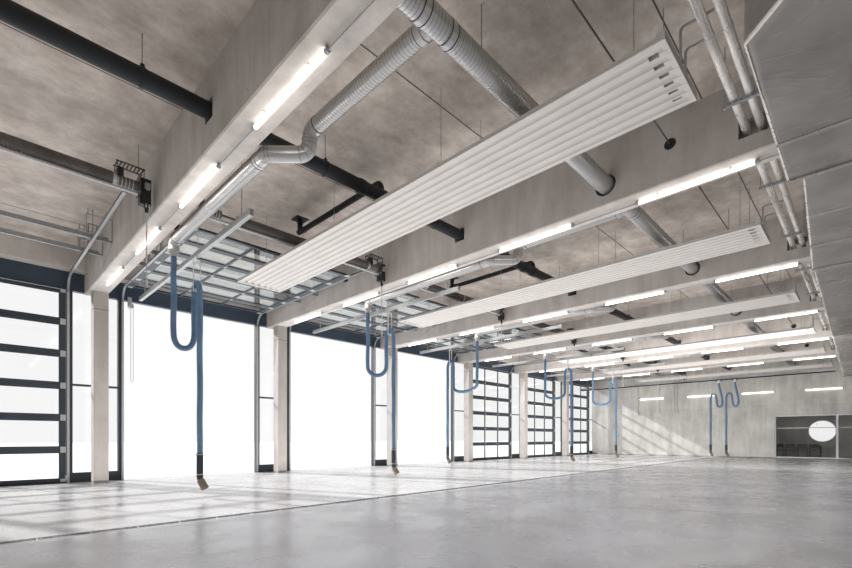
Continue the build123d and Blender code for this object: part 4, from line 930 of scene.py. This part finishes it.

# Floor channel: punched round-ended slots in its cover read as a dotted line, drawn as flat dark plates: painted shade
# in the openings
gully = {"y": behind(7.95), "pitch": 0.125, "slot": 0.045, "long": 0.06}
bm = bmesh.new()
spot = lineX(0) - 0.15
while spot > lineX(7) + 0.1:
    addBlock(bm, (spot, gully["y"], hall["floorZ"]), (gully["slot"] / 2, gully["long"] / 2, (-0.002, 0.0012)))
    spot -= gully["pitch"]
newPiece("channel_slot_shade", bm, springSteel)
bm = bmesh.new()
for side in (-1, 1):
    addBlock(bm, (0, gully["y"] + side * 0.083, hall["floorZ"]), ((lineX(7) + 0.01, lineX(0) - 0.01), 0.006, (-0.002, 0.0015)), 0.0005)
newPiece("channel_rims", bm, zincPart)

# Ceiling slabs: grout flush in the cast grooves, and the open dark joints between the wide slabs
slab = {"first": behind(0.47), "pitch": 0.625, "count": 27, "open": (2.14, 4.845, 7.56, 10.27, 12.97), "half": 0.0066, "line": 0.009}
bm, gaps = bmesh.new(), bmesh.new()
openPlaces = [behind(distance) for distance in slab["open"]]
for k in range(slab["count"]):
    y = slab["first"] + slab["pitch"] * k
    if y < hall["rearY"] and min(abs(y - place) for place in openPlaces) > 0.02:
        addBlock(bm, (0, y, ceilingZ), ((lineX(7), lineX(0)), slab["half"], (0, 0.009)))
for n in allBays:
    near = lineX(n) + (0 if n == 0 else hall["beamShift"] - hall["beamWidth"] / 2)
    far = lineX(n + 1) + (0 if n == hall["bays"] - 1 else hall["beamShift"] + hall["beamWidth"] / 2)
    for y in openPlaces:
        addBlock(gaps, (0, y, ceilingZ), ((far, near), slab["line"], (-0.0012, 0.004)))
newPiece("slab_grout", bm, plankConcrete)
newPiece("slab_joints", gaps, darkJoint)

# Thin air line through the beams: black discs at the beam faces are painted shade of the holes it passes through, with
# black collars round the line; clips and drop rods between them
airLine = {"y": behind(12.563), "z": level(5.43), "radius": 0.01, "sleeve": 0.08, "proud": 0.004, "clips": (0.28, 0.72)}
bm, rings = bmesh.new(), bmesh.new()
addPin(bm, (0, airLine["y"], airLine["z"]), "x", (lineX(1) - 0.1, lineX(7) - 0.02), airLine["radius"], 10)
for n in beamLines:
    for side in (-1, 1):
        face = lineX(n) + hall["beamShift"] + side * hall["beamWidth"] / 2
        addBand(rings, (face, airLine["y"], airLine["z"]), "x", airLine["sleeve"], 2 * airLine["proud"], 0.002)
        addBand(rings, (face + side * 0.008, airLine["y"], airLine["z"]), "x", 0.026, 0.016, 0.004, 16)
    for share in airLine["clips"]:
        x = lineX(n) - hall["bay"] * share
        addBand(bm, (x, airLine["y"], airLine["z"]), "x", 0.016, 0.02, 0.003, 12)
        addPin(bm, (x, airLine["y"], 0), "z", (airLine["z"] + 0.012, ceilingZ - 0.002), 0.004, 8)
newPiece("air_line", bm, springSteel)
newPiece("air_line_hole_shade_and_collars", rings, blackPipe)

# Valves where the link pipes leave each radiant panel
valve = {"ys": behind(13.32 - 0.06), "gap": 0.17, "low": 4.862, "body": 0.021, "nut": 0.025}
bm = bmesh.new()
for n in beamLines:
    for k in (1, 2):
        x, y, z = middleX(n) - 0.52 + valve["gap"] * k, valve["ys"], level(valve["low"])
        addPin(bm, (x, y, z), "z", (0.02, 0.11), valve["body"], 12)
        for rise in (0.012, 0.1):
            addPin(bm, (x, y, z + rise), "z", (0, 0.022), valve["nut"], 6)
        addPin(bm, (x, y, z + 0.065), "x", (0, 0.05), 0.011, 10)
        addBand(bm, (x + 0.055, y, z + 0.065), "x", 0.019, 0.022, 0.004, 12)
newPiece("panel_valves", bm, valveBrass)

# Conduits down the far wall, in clips, as far as the formwork joint
conduit = {"places": ((3.25, 0.016), (4.632, 0.02), (5.506, 0.022), (5.701, 0.022)), "low": 2.88, "clip": 0.7}
bm = bmesh.new()
for place, radius in conduit["places"]:
    y, wall = behind(place), lineX(7)
    addPin(bm, (wall + radius + 0.004, y, 0), "z", (level(conduit["low"]), ceilingZ - 0.002), radius, 12)
    addBlock(bm, (wall, y, level(conduit["low"])), ((0, 2 * radius + 0.012), radius + 0.012, (-0.1, 0.01)), 0.005, 2)
    for k in range(1, 5):
        z = level(conduit["low"] + conduit["clip"] * k)
        addBand(bm, (wall + radius + 0.004, y, z), "z", radius + 0.004, 0.02, 0.002, 14)
        addBlock(bm, (wall, y, z), ((0, 0.008), radius + 0.014, 0.01), 0.002)
newPiece("wall_conduits", bm, zincPart)

# Far window: gaskets round the panes and a slim rail behind the glass
pane = {"frame": 0.06, "mullion": 0.1, "gasket": 0.014, "glass": 0.008, "rail": 1.73, "railHigh": 0.042}
low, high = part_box("far_window_frame")
middle = (low[0] + high[0]) / 2
half = (high[1] - low[1] - 2 * pane["frame"] - pane["mullion"]) / 2
bm, slim = bmesh.new(), bmesh.new()
for k in (0, 1):
    y0 = low[1] + pane["frame"] + k * (half + pane["mullion"])
    y1, z0, z1 = y0 + half, low[2] + pane["frame"], high[2] - pane["frame"]
    for side in (-1, 1):
        near, far = sorted((middle + side * pane["glass"], middle + side * (pane["glass"] + 0.012)))
        addBlock(bm, (0, 0, z0), ((near, far), (y0, y1), (0, pane["gasket"])), 0.002)
        addBlock(bm, (0, 0, z1), ((near, far), (y0, y1), (-pane["gasket"], 0)), 0.002)
        addBlock(bm, (0, y0, 0), ((near, far), (0, pane["gasket"]), (z0, z1)), 0.002)
        addBlock(bm, (0, y1, 0), ((near, far), (-pane["gasket"], 0), (z0, z1)), 0.002)
    addBlock(slim, (middle, 0, level(pane["rail"])), ((-0.062, -0.05), (y0 - 0.02, y1 + 0.02), pane["railHigh"] / 2), 0.003)
newPiece("window_gaskets", bm, blackPipe)
newPiece("window_rail", slim, panelWhite)

# Front columns: a cast joint near the head
column = {"half": 0.16, "front": 0.3, "depth": 0.35, "joint": 4.42, "line": 0.005, "proud": 0.0012}
bm = bmesh.new()
for n in beamLines:
    near, far = behind(column["front"]) - column["proud"], behind(column["front"] + column["depth"]) + column["proud"]
    addBlock(bm, (lineX(n), 0, level(column["joint"])), (column["half"] + column["proud"], (near, far), column["line"]))
newPiece("column_joints", bm, darkJoint)

# Sensor cables in clips down the beam faces, from the tracks to the door posts
cable = {"radius": 0.0055, "from": (3.16, 5.3), "turn": (2.3, 5.02), "down": (0.75, 4.96)}
bm = bmesh.new()
for n in beamLines:
    x = lineX(n) + hall["beamShift"] + hall["beamWidth"] / 2 + 0.007
    stops = [(x, behind(y), level(z)) for y, z in (cable["from"], cable["turn"], cable["down"])]
    for start, stop in zip(stops, stops[1:]):
        addRod(bm, start, stop, cable["radius"], 8)
        for share in (0.0, 0.5, 1.0):
            spot = Vector(start).lerp(Vector(stop), share)
            addBox(bm, spot - Vector((0.008, 0.012, 0.01)), spot + Vector((0.004, 0.012, 0.01)), 0.002)
newPiece("sensor_cables", bm, lampGrey)

# Steel thresholds under the doors, and the coping's lapped joints with their rivets
sill = {"half": 1.9, "first": 0.0, "last": 0.058}
bm = bmesh.new()
for n in allBays:
    addBlock(bm, (middleX(n), 0, hall["floorZ"]), (sill["half"], (behind(sill["first"]), behind(sill["last"])), (-0.001, 0.002)), 0.001)
newPiece("door_thresholds", bm, zincPart)
coping = {"gap": 3.0, "half": 0.08, "proud": 0.003}
low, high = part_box("parapet_coping")
bm = bmesh.new()
covers = [(k * coping["gap"], "x", side) for k in range(-6, 7) for side in (-1, 1)]
covers += [(k * coping["gap"], "y", side) for k in range(-2, 3) for side in (-1, 1)]
for at, way, side in covers:
    inner = {"x": hall["faceY"] if side < 0 else hall["rearY"], "y": side * hall["nearX"]}[way]
    first, second = sorted((side * high[1 if way == "x" else 0], inner))
    if way == "x":
        a, b = (at - coping["half"], first - coping["proud"]), (at + coping["half"], second + coping["proud"])
    else:
        a, b = (first - coping["proud"], at - coping["half"]), (second + coping["proud"], at + coping["half"])
    addBox(bm, (*a, low[2] + 0.004), (*b, high[2] + coping["proud"]), 0.002)
    for across in (0.25, 0.75):
        for along in (0.2, 0.8):
            share = (along, across) if way == "x" else (across, along)
            x, y = (a[k] + (b[k] - a[k]) * share[k] for k in (0, 1))
            addPin(bm, (x, y, high[2]), "z", (0, coping["proud"] + 0.0025), 0.007, 6)
newPiece("coping_joints", bm, copingMetal)

# Outside of the walls: mortar plugs of the formwork ties; roof outlets over the rain pipes
tie = {"pitchX": 1.25, "pitchZ": 1.35, "firstZ": 0.72, "radius": 0.024, "proud": 0.0012}
bm = bmesh.new()
low, high = cadBox
for row in range(4):
    z = tie["firstZ"] + tie["pitchZ"] * row
    for k in range(-15, 16):
        x = k * tie["pitchX"]
        addPin(bm, (x, high[1], z), "y", (-0.004, tie["proud"]), tie["radius"], 12)
    for k in range(-6, 7):
        y = k * tie["pitchX"]
        for x in (low[0] - tie["proud"], high[0] - 0.004):
            addPin(bm, (x, y, z), "x", (0, 0.004 + tie["proud"]), tie["radius"], 12)
newPiece("tie_plugs", bm, plugMortar)
bm = bmesh.new()
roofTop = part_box("roof_covering")[1][2]
for n in beamLines:
    x, y = lineX(n) - drain["outletX"], drain["outletY"] + 0.055
    addBand(bm, (x, y, roofTop + 0.006), "z", 0.19, 0.014, 0.004, 32)
    for k in range(10):
        angle = 2 * math.pi * k / 10
        ring = Vector((math.cos(angle), math.sin(angle), 0))
        foot, top = Vector((x, y, roofTop + 0.01)) + ring * 0.11, Vector((x, y, roofTop + 0.1)) + ring * 0.05
        addRod(bm, foot, top, 0.008, 6)
    addBand(bm, (x, y, roofTop + 0.1), "z", 0.06, 0.014, 0.004, 20)
    addBand(bm, (x, y, roofTop + 0.018), "z", 0.12, 0.012, 0.003, 24)
newPiece("roof_outlets", bm, blackPipe)
print("small pieces made")

# Camera where the photograph was taken from, and lights
view = {"place": (16.597, 6.05, 1.189), "turn": 134.396, "lens": 19.166, "shiftY": 0.1815}
camera = newObject("photo camera", bpy.data.cameras.new("photo camera"))
camera.location = view["place"]
camera.rotation_euler = (math.radians(90), 0, math.radians(view["turn"]))
camera.data.sensor_width = 36
camera.data.lens = view["lens"]
camera.data.shift_y = view["shiftY"]
camera.data.clip_start, camera.data.clip_end = 0.05, 400
bpy.context.scene.camera = camera

lights = {
    # name: place, turn in degrees, size along and across, power, colour
    "daylight from the doors": ((1.6, -8.5, 2.6), (76, 0, 0), (34, 4.6), 620, "#e6ecff"),
    "bounce from the floor": ((-2.5, -1.2, 0.12), (180, 0, 0), (27, 12.5), 1640, "#fffdfb"),
    "bounce near the camera": ((12.6, -1.8, 0.12), (180, 0, 0), (7, 11.5), 340, "#fffdfb"),
    "fill from the near end": ((18.9, 0, 2.6), (0, 90, 0), (4.5, 15), 120, "#fffaf5"),
    "fill towards the far wall": ((-3, 0, 3.2), (0, 97, 0), (3, 13), 440, "#fffdfb"),
    "sunlit floor by the doors": ((2.5, -6.3, 0.12), (180, 0, 0), (32, 4), 560, "#fffdfa"),
    "sky light on the floor": ((4, 1.5, 4.38), (0, 0, 0), (24, 12), 590, "#e2e9ff"),
}
for name, (place, turn, size, power, colour) in lights.items():
    data = bpy.data.lights.new(name, "AREA")
    data.shape = "RECTANGLE"
    data.size, data.size_y = size
    data.energy = power
    data.color = linear(colour)[:3]
    light = newObject(name, data)
    light.location = place
    light.rotation_euler = [math.radians(a) for a in turn]
    light.visible_camera = light.visible_glossy = False
suns = {"low sun from the front": ((-0.3, 0.82, -0.49), 6.2, 1.2), "soft fill from behind": ((-0.5, -0.7, -0.6), 0.8, 40)}
for name, (ray, strength, spread) in suns.items():
    sun = newObject(name, bpy.data.lights.new(name, "SUN"))
    sun.data.energy = strength
    sun.data.angle = math.radians(spread)
    sun.rotation_euler = Vector(ray).to_track_quat("-Z", "Y").to_euler()

world = bpy.data.worlds.new("pale surround")
bpy.context.scene.world = world
world.use_nodes = True
tree = world.node_tree
path = addNode(tree, "LightPath", {})
seen = addNode(tree, "Math", {"operation": "MAXIMUM", 0: path.outputs["Is Camera Ray"], 1: path.outputs["Is Glossy Ray"]})
seen = addNode(tree, "Math", {"operation": "MAXIMUM", 0: seen, 1: path.outputs["Is Transmission Ray"]})
background = tree.nodes["Background"]
plug(background, "Color", (1, 1, 1, 1))
plug(background, "Strength", addNode(tree, "MapRange", {"To Min": 0.75, "To Max": 1.0, "Value": seen}))

ground = bmesh.new()
bmesh.ops.create_grid(ground, x_segments=1, y_segments=1, size=150)
mesh = bpy.data.meshes.new("ground")
ground.to_mesh(mesh)
ground.free()
floorStage = newObject("ground", mesh)
paleFloor, tree, shader, place = newMaterial("pale ground", {"Roughness": 0.9})
speck = addNode(tree, "TexNoise", {"Scale": 0.4, "Detail": 4, "Vector": place})
plug(shader, "Base Color", addNode(tree, "ValToRGB", {"Fac": speck, "stops": [(0.3, "#e6e6e6"), (0.7, "#ececec")]}))
mesh.materials.append(paleFloor)

bpy.context.scene.view_settings.view_transform = "Standard"
